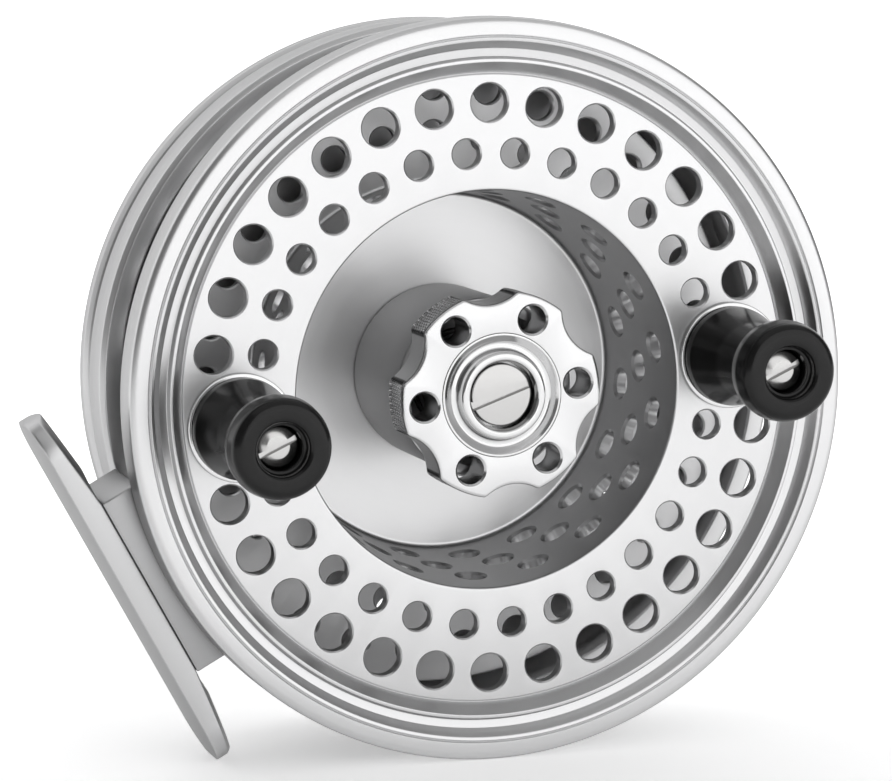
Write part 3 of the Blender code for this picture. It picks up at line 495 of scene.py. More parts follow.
@dataclass(frozen=True)
class CorkComposite:
    """Pressed cork: pale granules in a darker binder."""

    name: str
    pale: tuple[float, float, float] = (0.62, 0.42, 0.24)
    binder: tuple[float, float, float] = (0.26, 0.15, 0.08)
    granules: float = 1300.0
    grains: float = 2400.0

    def material(self, seat: Seat = Seat()) -> bpy.types.Material:
        """Makes the material.

        Args:
            seat: Where the turning axis lies in the piece's own coordinates.

        Returns:
            The material.
        """
        bench = Bench(self.name)
        coordinates = bench.shifted(bench.coordinates(), seat.centre)
        inputs = {"Vector": coordinates, "Scale": self.granules}
        granule = bench.add("ShaderNodeTexVoronoi", {"feature": "F1"}, inputs)
        grain = bench.noise(coordinates, self.grains, 3.0)
        share = (granule * 0.8 + grain * 0.5 - 0.1).at_least(0.0).at_most(1.0)
        bench.dress(
            Base_Color=bench.blend(share, self.pale, self.binder),
            Roughness=grain * 0.15 + 0.75,
            Normal=bench.bump(share, 0.15 * MM),
        )
        return bench.material


SPOOL_SATIN = Metal("spool_satin_aluminium", (0.59, 0.59, 0.594), 0.3, anisotropy=0.3)
FRAME_SATIN = Metal("frame_satin_aluminium", (0.57, 0.57, 0.574), 0.32, anisotropy=0.3)
# The foot's and the pad's aluminium are darker than the frame's: painted shade, for sides that face away from
# the lights.
FOOT_SHADED_ALUMINIUM = Metal("foot_shaded_aluminium", (0.53, 0.53, 0.534), 0.38, Grain.BRUSHED, groove=0.0006)
PAD_SHADED_ALUMINIUM = Metal("pad_shaded_aluminium", (0.40, 0.40, 0.404), 0.38, Grain.PLAIN, groove=0.0006)
HOUSING_SATIN = Metal("housing_satin_aluminium", (0.52, 0.52, 0.524), 0.3, anisotropy=0.3)
KNOB_SATIN = KnurledMetal("knob_satin_aluminium", (0.60, 0.60, 0.604), 0.25, anisotropy=0.3)
POLISHED = Metal("polished_bezel", (0.60, 0.60, 0.602), 0.13, groove=0.0004, band=0.02, smudge=0.01)
STEEL = Metal("turned_steel", (0.46, 0.456, 0.452), 0.2, anisotropy=0.2)
SPRING_STEEL = Metal("spring_steel", (0.42, 0.42, 0.43), 0.35, Grain.PLAIN)
BRASS = Metal("machined_brass", (0.83, 0.63, 0.30), 0.3)
CORK = CorkComposite("cork_composite")
HANDLE_BLACK = BlackLacquer("black_handle", 0.24)


# Mesh making

ON_AXIS = 1e-6
DRILL_OVERSHOOT = 0.35
SHARP_DEGREES = 32.0


@dataclass(frozen=True)
class Corner:
    """A corner of an outline, with the radius that it is rounded to."""

    radius: float
    depth: float
    fillet: float = 0.0


def rounded(corners: Sequence[Corner], steps: int = 4) -> Outline:
    """Rounds the corners of a closed outline.

    Args:
        corners: The outline's corners in order.
        steps: How many segments a rounded corner has.

    Returns:
        The outline's points.
    """
    points: Outline = []
    for index, corner in enumerate(corners):
        here = Vector((corner.radius, corner.depth))
        if corner.fillet <= 0.0:
            points.append((here.x, here.y))
            continue
        before = corners[index - 1]
        after = corners[(index + 1) % len(corners)]
        back = Vector((before.radius, before.depth)) - here
        ahead = Vector((after.radius, after.depth)) - here
        half = back.angle(ahead) / 2
        reach = min(corner.fillet / math.tan(half), 0.48 * back.length, 0.48 * ahead.length)
        start = here + back.normalized() * reach
        end = here + ahead.normalized() * reach
        for step in range(steps + 1):
            share = step / steps
            point = start * (1 - share) ** 2 + here * (2 * share * (1 - share)) + end * share**2
            points.append((point.x, point.y))
    return points


@dataclass(frozen=True)
class Axis:
    """A turning axis that runs along the row's +Y, from a point at depth 0."""

    origin: Vector

    def matrix(self) -> Matrix:
        """Places a piece that was made round its own Z axis."""
        return Matrix.Translation(self.origin) @ Matrix.Rotation(-math.pi / 2, 4, "X")

    @staticmethod
    def point(radius: float, degrees: float, depth: float) -> Vector:
        """A point about the axis, with the angle counted from the row's +X towards +Z."""
        angle = math.radians(degrees)
        return Vector((radius * math.cos(angle), -radius * math.sin(angle), depth))


class Blank:
    """A mesh in the making, in millimetres."""

    def __init__(self) -> None:
        """Starts an empty mesh."""
        self.bm = bmesh.new()

    def turn(self, outline: Outline, facets: int, rim: Rim | None = None) -> "Blank":
        """Adds a solid of revolution about Z.

        Args:
            outline: A closed loop of radius and depth.
            facets: How many facets it has round the axis.
            rim: Gives a radius from an angle in degrees and the outline's radius and depth.

        Returns:
            This blank.
        """
        rings = []
        for radius, depth in outline:
            if radius < ON_AXIS:
                rings.append([self.bm.verts.new((0.0, 0.0, depth))] * facets)
                continue
            ring = []
            for step in range(facets):
                degrees = 360.0 * step / facets
                here = rim(degrees, radius, depth) if rim else radius
                ring.append(self.bm.verts.new(Axis.point(here, degrees, depth)))
            rings.append(ring)
        for ring, following in zip(rings, rings[1:] + rings[:1]):
            for step in range(facets):
                after = (step + 1) % facets
                corners = dict.fromkeys((ring[step], ring[after], following[after], following[step]))
                if len(corners) > 2:
                    self.bm.faces.new(list(corners))
        return self

    def loft(self, sections: Sequence[Sequence[Vector]]) -> "Blank":
        """Adds a closed skin through sections.

        Args:
            sections: The sections in order, with equal numbers of points.

        Returns:
            This blank.
        """
        rings = [[self.bm.verts.new(point) for point in section] for section in sections]
        for ring, following in zip(rings, rings[1:]):
            for index in range(len(ring)):
                after = (index + 1) % len(ring)
                self.bm.faces.new((ring[index], ring[after], following[after], following[index]))
        self.bm.faces.new(list(reversed(rings[0])))
        self.bm.faces.new(rings[-1])
        return self

    def drill(self, start: Vector, end: Vector, radius: float, flare: float, facets: int = 32) -> "Blank":
        """Adds a drill with a countersink at each end of its hole.

        Args:
            start: Where the hole's axis meets the first surface.
            end: Where it meets the second surface.
            radius: The hole's radius.
            flare: The countersink's width.
            facets: How many facets the hole has.

        Returns:
            This blank.
        """
        along = end - start
        length = along.length
        turn = Vector((0.0, 0.0, 1.0)).rotation_difference(along).to_matrix()
        over = DRILL_OVERSHOOT
        stations = ((-over, flare + over), (flare, 0.0), (length - flare, 0.0), (length + over, flare + over))
        sections = []
        for distance, extra in stations:
            ring = []
            for step in range(facets):
                angle = 2 * math.pi * step / facets
                spoke = Vector((math.cos(angle), math.sin(angle), 0.0)) * (radius + extra)
                ring.append(start + turn @ (spoke + Vector((0.0, 0.0, distance))))
            sections.append(ring)
        return self.loft(sections)

    def block(self, low: Vector, high: Vector, turn: Matrix | None = None) -> "Blank":
        """Adds a box.

        Args:
            low: Its lowest corner.
            high: Its highest corner.
            turn: A rotation of the whole box, if it is turned.

        Returns:
            This blank.
        """
        size = high - low
        matrix = Matrix.Translation((low + high) / 2) @ Matrix.Diagonal((*size, 1.0))
        bmesh.ops.create_cube(self.bm, size=1.0, matrix=(turn @ matrix) if turn else matrix)
        return self

    def mesh(self, name: str) -> bpy.types.Mesh:
        """Finishes the mesh, in metres, with its faces pointing out.

        Args:
            name: The mesh's name.

        Returns:
            The mesh.
        """
        bmesh.ops.recalc_face_normals(self.bm, faces=self.bm.faces)
        self.bm.transform(Matrix.Scale(MM, 4))
        mesh = bpy.data.meshes.new(name)
        self.bm.to_mesh(mesh)
        self.bm.free()
        return mesh


class Piece:
    """One visible piece of the reel."""

    def __init__(self, name: str, blank: Blank, matrix: Matrix) -> None:
        """Places a finished blank in the scene.

        Args:
            name: The piece's name.
            blank: Its mesh in the making.
            matrix: Where it goes in the row frame.
        """
        self.thing = bpy.data.objects.new(name, blank.mesh(name))
        bpy.context.scene.collection.objects.link(self.thing)
        self.thing.matrix_world = matrix

    def _settle(self, modifier: bpy.types.Modifier) -> None:
        """Applies a modifier.

        Args:
            modifier: The piece's only modifier.
        """
        bpy.context.view_layer.update()
        graph = bpy.context.evaluated_depsgraph_get()
        made = bpy.data.meshes.new_from_object(self.thing.evaluated_get(graph))
        made.name = self.thing.data.name
        self.thing.modifiers.remove(modifier)
        self.thing.data = made

    def cut(self, cutter: Blank, operation: str = "DIFFERENCE") -> "Piece":
        """Cuts a blank's shape away.

        Args:
            cutter: What is cut away, or joined on.
            operation: The Boolean operation.

        Returns:
            This piece.
        """
        helper = bpy.data.objects.new("cutter", cutter.mesh("cutter"))
        bpy.context.scene.collection.objects.link(helper)
        helper.matrix_world = self.thing.matrix_world
        boolean = self.thing.modifiers.new("cut", "BOOLEAN")
        boolean.operation = operation
        boolean.solver = "EXACT"
        boolean.object = helper
        self._settle(boolean)
        bpy.data.objects.remove(helper)
        return self

    def soften(self, width: float, segments: int = 3, degrees: float = 35.0) -> "Piece":
        """Rounds the sharp edges.

        Args:
            width: The rounding's width in millimetres.
            segments: How many segments it has.
            degrees: The angle from which an edge counts as sharp.

        Returns:
            This piece.
        """
        bevel = self.thing.modifiers.new("edges", "BEVEL")
        bevel.width = width * MM
        bevel.segments = segments
        bevel.limit_method = "ANGLE"
        bevel.angle_limit = math.radians(degrees)
        bevel.use_clamp_overlap = True
        self._settle(bevel)
        return self

    def ride(
        self,
        body: str,
        finish: Metal | BlackLacquer,
        replaces: Iterable[str] = (),
    ) -> "Piece":
        """Shades the piece, dresses it and fixes it to a body.

        Args:
            body: The body that it moves with.
            finish: What it is finished in.
            replaces: The solids that it stands for.

        Returns:
            This piece.
        """
        mesh = self.thing.data
        mesh.shade_smooth()
        mesh.set_sharp_from_angle(angle=math.radians(SHARP_DEGREES))
        mesh.materials.clear()
        mesh.materials.append(finish.material())
        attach(self.thing, body)
        if replaces:
            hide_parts(*replaces)
        log.info("%s: %d faces on %s", self.thing.name, len(mesh.polygons), body)
        return self


# Sub-assemblies


@dataclass(frozen=True)
class Reel:
    """Where the reel's main axis lies."""

    rim_front: float = -3.2

    def axis(self) -> Axis:
        """The spool's axis, with depth 0 at the spool's front face.

        Returns:
            The axis.
        """
        low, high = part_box("spool")
        middle = (low + high) / 2
        return Axis(Vector((middle.x, low.y - self.rim_front * MM, middle.z)))


@dataclass(frozen=True)
class SpoolLooks:
    """The one-piece spool: perforated face, stepped palming rim, perforated cup and rear flange."""

    rim_radius: float = 55.0
    rim_front: float = -3.2
    face_radius: float = 46.5
    mouth_radius: float = 29.7
    floor_radius: float = 27.6
    floor_depth: float = 25.0
    wall: float = 1.6
    face_thickness: float = 2.2
    flange_radius: float = 49.0
    flange_front: float = 26.3
    flange_rear: float = 28.2
    hub_radius: float = 11.3
    hub_front: float = 23.2
    group_angle: float = 95.85
    face_rings: tuple[tuple[float, float, int, float], ...] = (
        (42.4, 2.82, 14, 11.54),
        (35.1, 2.15, 13, 12.24),
    )
    flange_rings: tuple[tuple[float, float, int], ...] = ((36.4, 2.0, 28), (43.8, 2.2, 31))
    flange_hole_angle: float = 90.4
    cup_rows: tuple[tuple[float, float], ...] = ((7.0, 9.0), (13.1, 2.0), (19.1, 15.0))
    cup_holes: int = 18
    cup_hole_radius: float = 2.2
    handle_circle: float = 38.2
    handle_angle: float = 5.85
    post_hole_radius: float = 2.7
    front_bore: float = 8.15
    rear_bore: float = 5.6
    bore_step: float = 27.8
    gear_seat_radius: float = 10.6
    hub_rear: float = 31.2
    face_flare: float = 0.22
    flange_flare: float = 0.25
    post_flare: float = 0.1
    cup_flare: float = 0.2
    drill_margin: float = 0.1
    facets: int = 256
    large_hole_facets: int = 40
    small_hole_facets: int = 28

    def outline(self) -> Outline:
        """The spool's section, with every edge rounded as the real one is.

        Returns:
            The outline's points.
        """
        rim, front = self.rim_radius, self.rim_front
        wall = self.floor_radius + self.wall
        return rounded(
            [
                Corner(self.front_bore, self.hub_front),
                Corner(self.hub_radius, self.hub_front),
                Corner(self.hub_radius, self.floor_depth),
                Corner(self.floor_radius - 0.1, self.floor_depth, 0.7),
                Corner(self.mouth_radius - 0.1, 0.0, 0.45),
                Corner(self.face_radius, 0.0, 0.12),
                Corner(self.face_radius + 0.25, 0.35, 0.12),
                Corner(self.face_radius + 1.9, front + 1.15, 0.2),
                Corner(self.face_radius + 2.35, front + 1.15, 0.12),
                Corner(self.face_radius + 2.7, front + 1.95, 0.12),
                Corner(self.face_radius + 3.9, front + 1.7, 0.25),
                Corner(self.face_radius + 5.0, front + 0.15, 0.3),
                Corner(self.face_radius + 5.45, front + 0.0, 0.1),
                Corner(self.face_radius + 5.65, front + 0.3, 0.08),
                Corner(self.face_radius + 5.9, front + 0.0, 0.1),
                Corner(rim, front + 0.0, 3.1),
                Corner(rim, 3.4, 0.45),
                Corner(rim - 1.7, 3.4, 0.3),
                Corner(rim - 2.8, self.face_thickness, 0.3),
                Corner(self.mouth_radius + self.wall, self.face_thickness, 0.6),
                Corner(wall, self.flange_front, 0.6),
                Corner(self.flange_radius, self.flange_front, 0.35),
                Corner(self.flange_radius, self.flange_rear, 0.35),
                Corner(self.gear_seat_radius, self.flange_rear),
                Corner(self.gear_seat_radius, self.hub_rear),
                Corner(self.rear_bore, self.hub_rear),
                Corner(self.rear_bore, self.bore_step),
                Corner(self.front_bore, self.bore_step),
            ],
            6,
        )

    def build(self, axis: Axis) -> None:
        """Makes the spool.

        Args:
            axis: The reel's main axis.
        """
        piece = Piece("spool_turned", Blank().turn(self.outline(), self.facets), axis.matrix())
        piece.cut(self.face_drills())
        piece.cut(self.cup_drills())
        piece.ride("spool", SPOOL_SATIN, ["spool"])

    def face_drills(self) -> Blank:
        """The drills of the face and the rear flange.

        Returns:
            The drills.
        """
        drills = Blank()
        for circle, radius, count, pitch in self.face_rings:
            for group in (self.group_angle, self.group_angle + 180.0):
                for index in range(count):
                    angle = group + (index - (count - 1) / 2) * pitch
                    start = Axis.point(circle, angle, 0.0)
                    end = Axis.point(circle, angle, self.face_thickness)
                    drills.drill(start, end, radius, self.face_flare, self.large_hole_facets)
        for circle, radius, count in self.flange_rings:
            for index in range(count):
                angle = self.flange_hole_angle + 360.0 * index / count
                start = Axis.point(circle, angle, self.flange_front)
                end = Axis.point(circle, angle, self.flange_rear)
                drills.drill(start, end, radius, self.flange_flare, self.small_hole_facets)
        for side in (0.0, 180.0):
            start = Axis.point(self.handle_circle, self.handle_angle + side, 0.0)
            end = Axis.point(self.handle_circle, self.handle_angle + side, self.face_thickness)
            drills.drill(start, end, self.post_hole_radius, self.post_flare, self.small_hole_facets)
        return drills

    def cup_drills(self) -> Blank:
        """The radial drills of the cup's wall.

        Returns:
            The drills.
        """
        drills = Blank()
        for depth, first in self.cup_rows:
            share = depth / self.floor_depth
            inner = self.mouth_radius + (self.floor_radius - self.mouth_radius) * share
            for index in range(self.cup_holes):
                angle = first + 360.0 * index / self.cup_holes
                start = Axis.point(inner - self.drill_margin, angle, depth)
                end = Axis.point(inner + self.wall + self.drill_margin, angle, depth)
                drills.drill(start, end, self.cup_hole_radius, self.cup_flare, self.small_hole_facets)
        return drills


@dataclass(frozen=True)
class HousingLooks:
    """The tube that rises from the cup's floor round the drag."""

    radius: float = 13.5
    bore: float = 11.6
    front: float = 2.1
    rear: float = 24.7

    def build(self, axis: Axis) -> None:
        """Makes the housing.

        Args:
            axis: The reel's main axis.
        """
        outline = rounded(
            [
                Corner(self.bore, self.front, 0.2),
                Corner(self.radius, self.front, 0.5),
                Corner(self.radius, self.rear, 0.25),
                Corner(self.bore, self.rear),
            ]
        )
        piece = Piece("drag_housing_tube", Blank().turn(outline, 160), axis.matrix())
        piece.ride("spool", HOUSING_SATIN, ["drag_housing"])


@dataclass(frozen=True)
class KnobLooks:
    """The lobed drag knob, its polished bezel and the slotted screw in its middle."""

    radius: float = 15.3
    front: float = -5.7
    rear: float = 1.3
    lobes: int = 6
    hole_angle: float = 6.5
    hole_circle: float = 11.9
    hole_radius: float = 2.1
    scallop_radius: float = 7.0
    scallop_circle: float = 20.4
    bezel_radius: float = 9.1
    lobe_round: float = 0.45
    plain_radius: float = 13.9
    knurls: int = 100
    knurl_depth: float = 0.42
    knurl_margin: float = 0.75
    knurl_fade: float = 0.5
    side_margins: tuple[float, float] = (0.6, 0.45)
    rows_per_knurl: int = 4
    facets_per_knurl: int = 8
    neck_radius: float = 7.0
    neck_bore: float = 4.1
    pocket_depth: float = 2.5
    pocket_gap: float = 0.05
    hole_flare: float = 0.3
    hole_facets: int = 48
    bezel_bore: float = 4.95
    bezel_depth: float = 2.2
    bezel_rise: float = 0.04
    bead_rise: float = 1.1
    bezel_facets: int = 192
    screw_head_radius: float = 4.6
    screw_head: tuple[float, float] = (-5.5, -4.3)
    screw_shank_radius: float = 1.7
    screw_end: float = 5.0
    screw_facets: int = 128
    slot_reach: float = 6.0
    slot_half_width: float = 0.65
    slot_floor: float = -4.7
    slot_angle: float = 20.0
    slot_edge: float = 0.07

    def rim(self, degrees: float, radius: float, depth: float) -> float:
        """The knob's radius at a place, which dips into a scallop between lobes and into the knurl.

        Args:
            degrees: The angle.
            radius: The outline's radius, as if the rim were round.
            depth: The depth along the axis.

        Returns:
            The radius there.
        """
        if radius < self.plain_radius:
            return radius
        lobed = self.lobed(degrees, radius)
        if not self.front + self.knurl_margin < depth < self.rear - self.knurl_margin:
            return lobed
        on_lobe = max(1.0 - (self.radius - lobed) / self.knurl_fade, 0.0)
        return lobed - self.knurl_depth * on_lobe * self.groove(degrees, depth)

    def groove(self, degrees: float, depth: float) -> float:
        """How deep the diamond knurl is at a place: 0 on a diamond's point and 1 in a groove.

        Args:
            degrees: The angle.
            depth: The depth along the axis.

        Returns:
            The share of the knurl's depth.
        """
        girth = math.pi * self.knurls * degrees / 360.0
        rise = math.pi * depth / self.knurl_pitch()
        return 1.0 - min(abs(math.sin(girth + rise)), abs(math.sin(girth - rise)))

    def knurl_pitch(self) -> float:
        """The distance between two diamonds round the rim."""
        return 2 * math.pi * self.radius / self.knurls

    def side(self) -> Outline:
        """The rows of points that the knurl needs along the knob's side.

        Returns:
            The rows' radius and depth, from the rear to the front.
        """
        step = self.knurl_pitch() / self.rows_per_knurl
        first = math.ceil((self.front + self.side_margins[0]) / step)
        last = math.floor((self.rear - self.side_margins[1]) / step)
        return [(self.radius, row * step) for row in range(last, first - 1, -1)]

    def lobed(self, degrees: float, radius: float) -> float:
        """The knob's radius at an angle, without its knurl.

        Args:
            degrees: The angle.
            radius: The outline's radius, as if the rim were round.

        Returns:
            The radius there.
        """
        step = 360.0 / self.lobes
        off = math.radians((degrees - self.hole_angle) % step - step / 2)
        sine = self.scallop_circle * math.sin(off)
        if abs(sine) >= self.scallop_radius:
            return radius
        scallop = self.scallop_circle * math.cos(off) - math.sqrt(self.scallop_radius**2 - sine**2)
        blend = max(self.lobe_round - abs(scallop - self.radius), 0.0) / self.lobe_round
        dipped = min(scallop, self.radius) - blend**2 * self.lobe_round / 4
        return radius - (self.radius - dipped)

    def build(self, axis: Axis) -> None:
        """Makes the knob, the bezel and the screw.

        Args:
            axis: The reel's main axis.
        """
        low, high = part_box("drag_knob")
        neck_end = (high.y - axis.origin.y) / MM
        outline = rounded(
            [
                Corner(self.neck_bore, neck_end),
                Corner(self.neck_radius, neck_end),
                Corner(self.neck_radius, self.rear, 0.4),
                Corner(self.radius, self.rear, 0.35),
                Corner(self.radius, self.front, 0.55),
                Corner(self.bezel_radius + self.pocket_gap, self.front, 0.1),
                Corner(self.bezel_radius + self.pocket_gap, self.front + self.pocket_depth),
                Corner(self.neck_bore, self.front + self.pocket_depth),
            ],
            4,
        )
        behind = [depth > 0.0 and radius > self.plain_radius for radius, depth in outline]
        cut = len(behind) - behind[::-1].index(True)
        outline = outline[:cut] + self.side() + outline[cut:]
        facets = self.facets_per_knurl * self.knurls
        knob = Piece("drag_knob_lobed", Blank().turn(outline, facets, self.rim), axis.matrix())
        drills = Blank()
        for lobe in range(self.lobes):
            angle = self.hole_angle + 360.0 * lobe / self.lobes
            start = Axis.point(self.hole_circle, angle, self.front)
            end = Axis.point(self.hole_circle, angle, self.rear)
            drills.drill(start, end, self.hole_radius, self.hole_flare, self.hole_facets)
        knob.cut(drills)
        knob.ride("drag_knob", KNOB_SATIN, ["drag_knob"])
        self.build_bezel(axis)
        self.build_screw(axis)

    def build_bezel(self, axis: Axis) -> None:
        """Makes the bezel, with a cove between its outer edge and its bead.

        Args:
            axis: The reel's main axis.
        """
        outline = rounded(
            [
                Corner(self.bezel_bore, self.front + self.bezel_depth),
                Corner(self.bezel_radius, self.front + self.bezel_depth),
                Corner(self.bezel_radius, self.front - self.bezel_rise, 0.08),
                Corner(self.bezel_radius - 0.3, self.front - self.bezel_rise, 0.12),
                Corner(7.7, self.front + 0.95, 0.9),
                Corner(6.75, self.front + 0.85, 0.4),
                Corner(6.4, self.front - self.bead_rise, 0.75),
                Corner(5.3, self.front - self.bead_rise, 0.45),
                Corner(self.bezel_bore, self.front - 0.3, 0.1),
            ],
            6,
        )
        bezel = Piece("knob_bezel_ring", Blank().turn(outline, self.bezel_facets), axis.matrix())
        bezel.ride("drag_knob", POLISHED, ["knob_bezel"])

    def build_screw(self, axis: Axis) -> None:
        """Makes the slotted screw.

        Args:
            axis: The reel's main axis.
        """
        front, rear = self.screw_head
        outline = rounded(
            [
                Corner(0.0, front),
                Corner(self.screw_head_radius, front, 0.3),
                Corner(self.screw_head_radius, rear, 0.1),
                Corner(self.screw_shank_radius, rear),
                Corner(self.screw_shank_radius, self.screw_end, 0.4),
                Corner(0.0, self.screw_end),
            ]
        )
        screw = Piece("centre_screw_slotted", Blank().turn(outline, self.screw_facets), axis.matrix())
        turn = Matrix.Rotation(-math.radians(self.slot_angle), 4, "Z")
        low = Vector((-self.slot_reach, -self.slot_half_width, front - 1.0))
        high = Vector((self.slot_reach, self.slot_half_width, self.slot_floor))
        screw.cut(Blank().block(low, high, turn))
        screw.soften(self.slot_edge, 1, 50.0)
        screw.ride("frame", STEEL, ["centre_screw"])


@dataclass(frozen=True)
class HandleLooks:
    """A handle: the black knob, the seat ring under it and the slotted screw in its end."""

    letter: str
    length: float = 22.6
    foot_radius: float = 7.5
    waist_radius: float = 4.9
    bead_radius: float = 7.4
    counterbore: float = 3.6
    counterbore_depth: float = 5.2
    seat_radius: float = 8.0
    slot_angle: float = 25.0
    slot_reach: float = 4.0
    slot_half_width: float = 0.4
    slot_depth: float = 0.75

    def axis(self) -> Axis:
        """The handle's axis, with depth 0 at the knob's foot and its end at minus its length.

        Returns:
            The axis.
        """
        low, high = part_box(f"handle_knob_{self.letter}")
        middle = (low + high) / 2
        return Axis(Vector((middle.x, high.y, middle.z)))

    def outline(self) -> Outline:
        """The knob's section: flared foot, waist, and a round bead with a dished end.

        Returns:
            The outline's points.
        """
        end = -self.length
        return rounded(
            [
                Corner(2.5, 0.0),
                Corner(self.foot_radius, 0.0, 0.35),
                Corner(self.foot_radius - 0.1, -1.6, 1.2),
                Corner(self.waist_radius + 0.9, -8.0, 12.0),
                Corner(self.waist_radius, -14.0, 6.0),
                Corner(self.waist_radius + 0.1, -16.4, 1.0),
                Corner(self.bead_radius - 0.3, -16.6, 2.6),
                Corner(self.bead_radius + 0.05, -19.3, 3.0),
                Corner(self.bead_radius - 0.35, end, 3.4),
                Corner(self.counterbore + 0.25, end, 1.5),
                Corner(self.counterbore + 0.1, end + 1.7, 0.3),
                Corner(self.counterbore - 0.35, end + 1.8, 0.15),
                Corner(self.counterbore - 0.35, end + self.counterbore_depth, 0.3),
                Corner(2.5, end + self.counterbore_depth),
            ],
            10,
        )

    def build(self) -> None:
        """Makes the handle's visible pieces."""
        axis = self.axis()
        knob = Piece(f"handle_{self.letter}_grip", Blank().turn(self.outline(), 160), axis.matrix())
        knob.ride(f"handle_{self.letter}", HANDLE_BLACK, [f"handle_knob_{self.letter}"])
        self.build_seat(axis)
        self.build_screw(axis)

    def build_seat(self, axis: Axis) -> None:
        """Makes the ring under the handle.

        Args:
            axis: The handle's axis.
        """
        outline = rounded(
            [
                Corner(2.7, 0.3),
                Corner(self.seat_radius, 0.3, 0.22),
                Corner(self.seat_radius, 0.9, 0.15),
                Corner(2.7, 0.9),
            ]
        )
        ring = Piece(f"handle_{self.letter}_seat_ring", Blank().turn(outline, 128), axis.matrix())
        ring.ride("spool", POLISHED, [f"handle_seat_{self.letter}"])

    def build_screw(self, axis: Axis) -> None:
        """Makes the slotted screw in the handle's end.

        Args:
            axis: The handle's axis.
        """
        low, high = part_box(f"handle_screw_{self.letter}")
        front = (low.y - axis.origin.y) / MM
        rear = (high.y - axis.origin.y) / MM
        outline = rounded(
            [
                Corner(0.0, front),
                Corner(1.6, front + 0.02, 1.0),
                Corner(3.0, front + 0.5, 0.5),
                Corner(3.0, front + 1.5, 0.1),
                Corner(1.1, front + 1.5),
                Corner(1.1, rear),
                Corner(0.0, rear),
            ]
        )
        screw = Piece(f"handle_{self.letter}_screw", Blank().turn(outline, 96), axis.matrix())
        turn = Matrix.Rotation(-math.radians(self.slot_angle), 4, "Z")
        reach, half = self.slot_reach, self.slot_half_width
        low = Vector((-reach, -half, front - 1.0))
        high = Vector((reach, half, front + self.slot_depth))
        screw.cut(Blank().block(low, high, turn))
        screw.ride("spool", STEEL, [f"handle_screw_{self.letter}"])


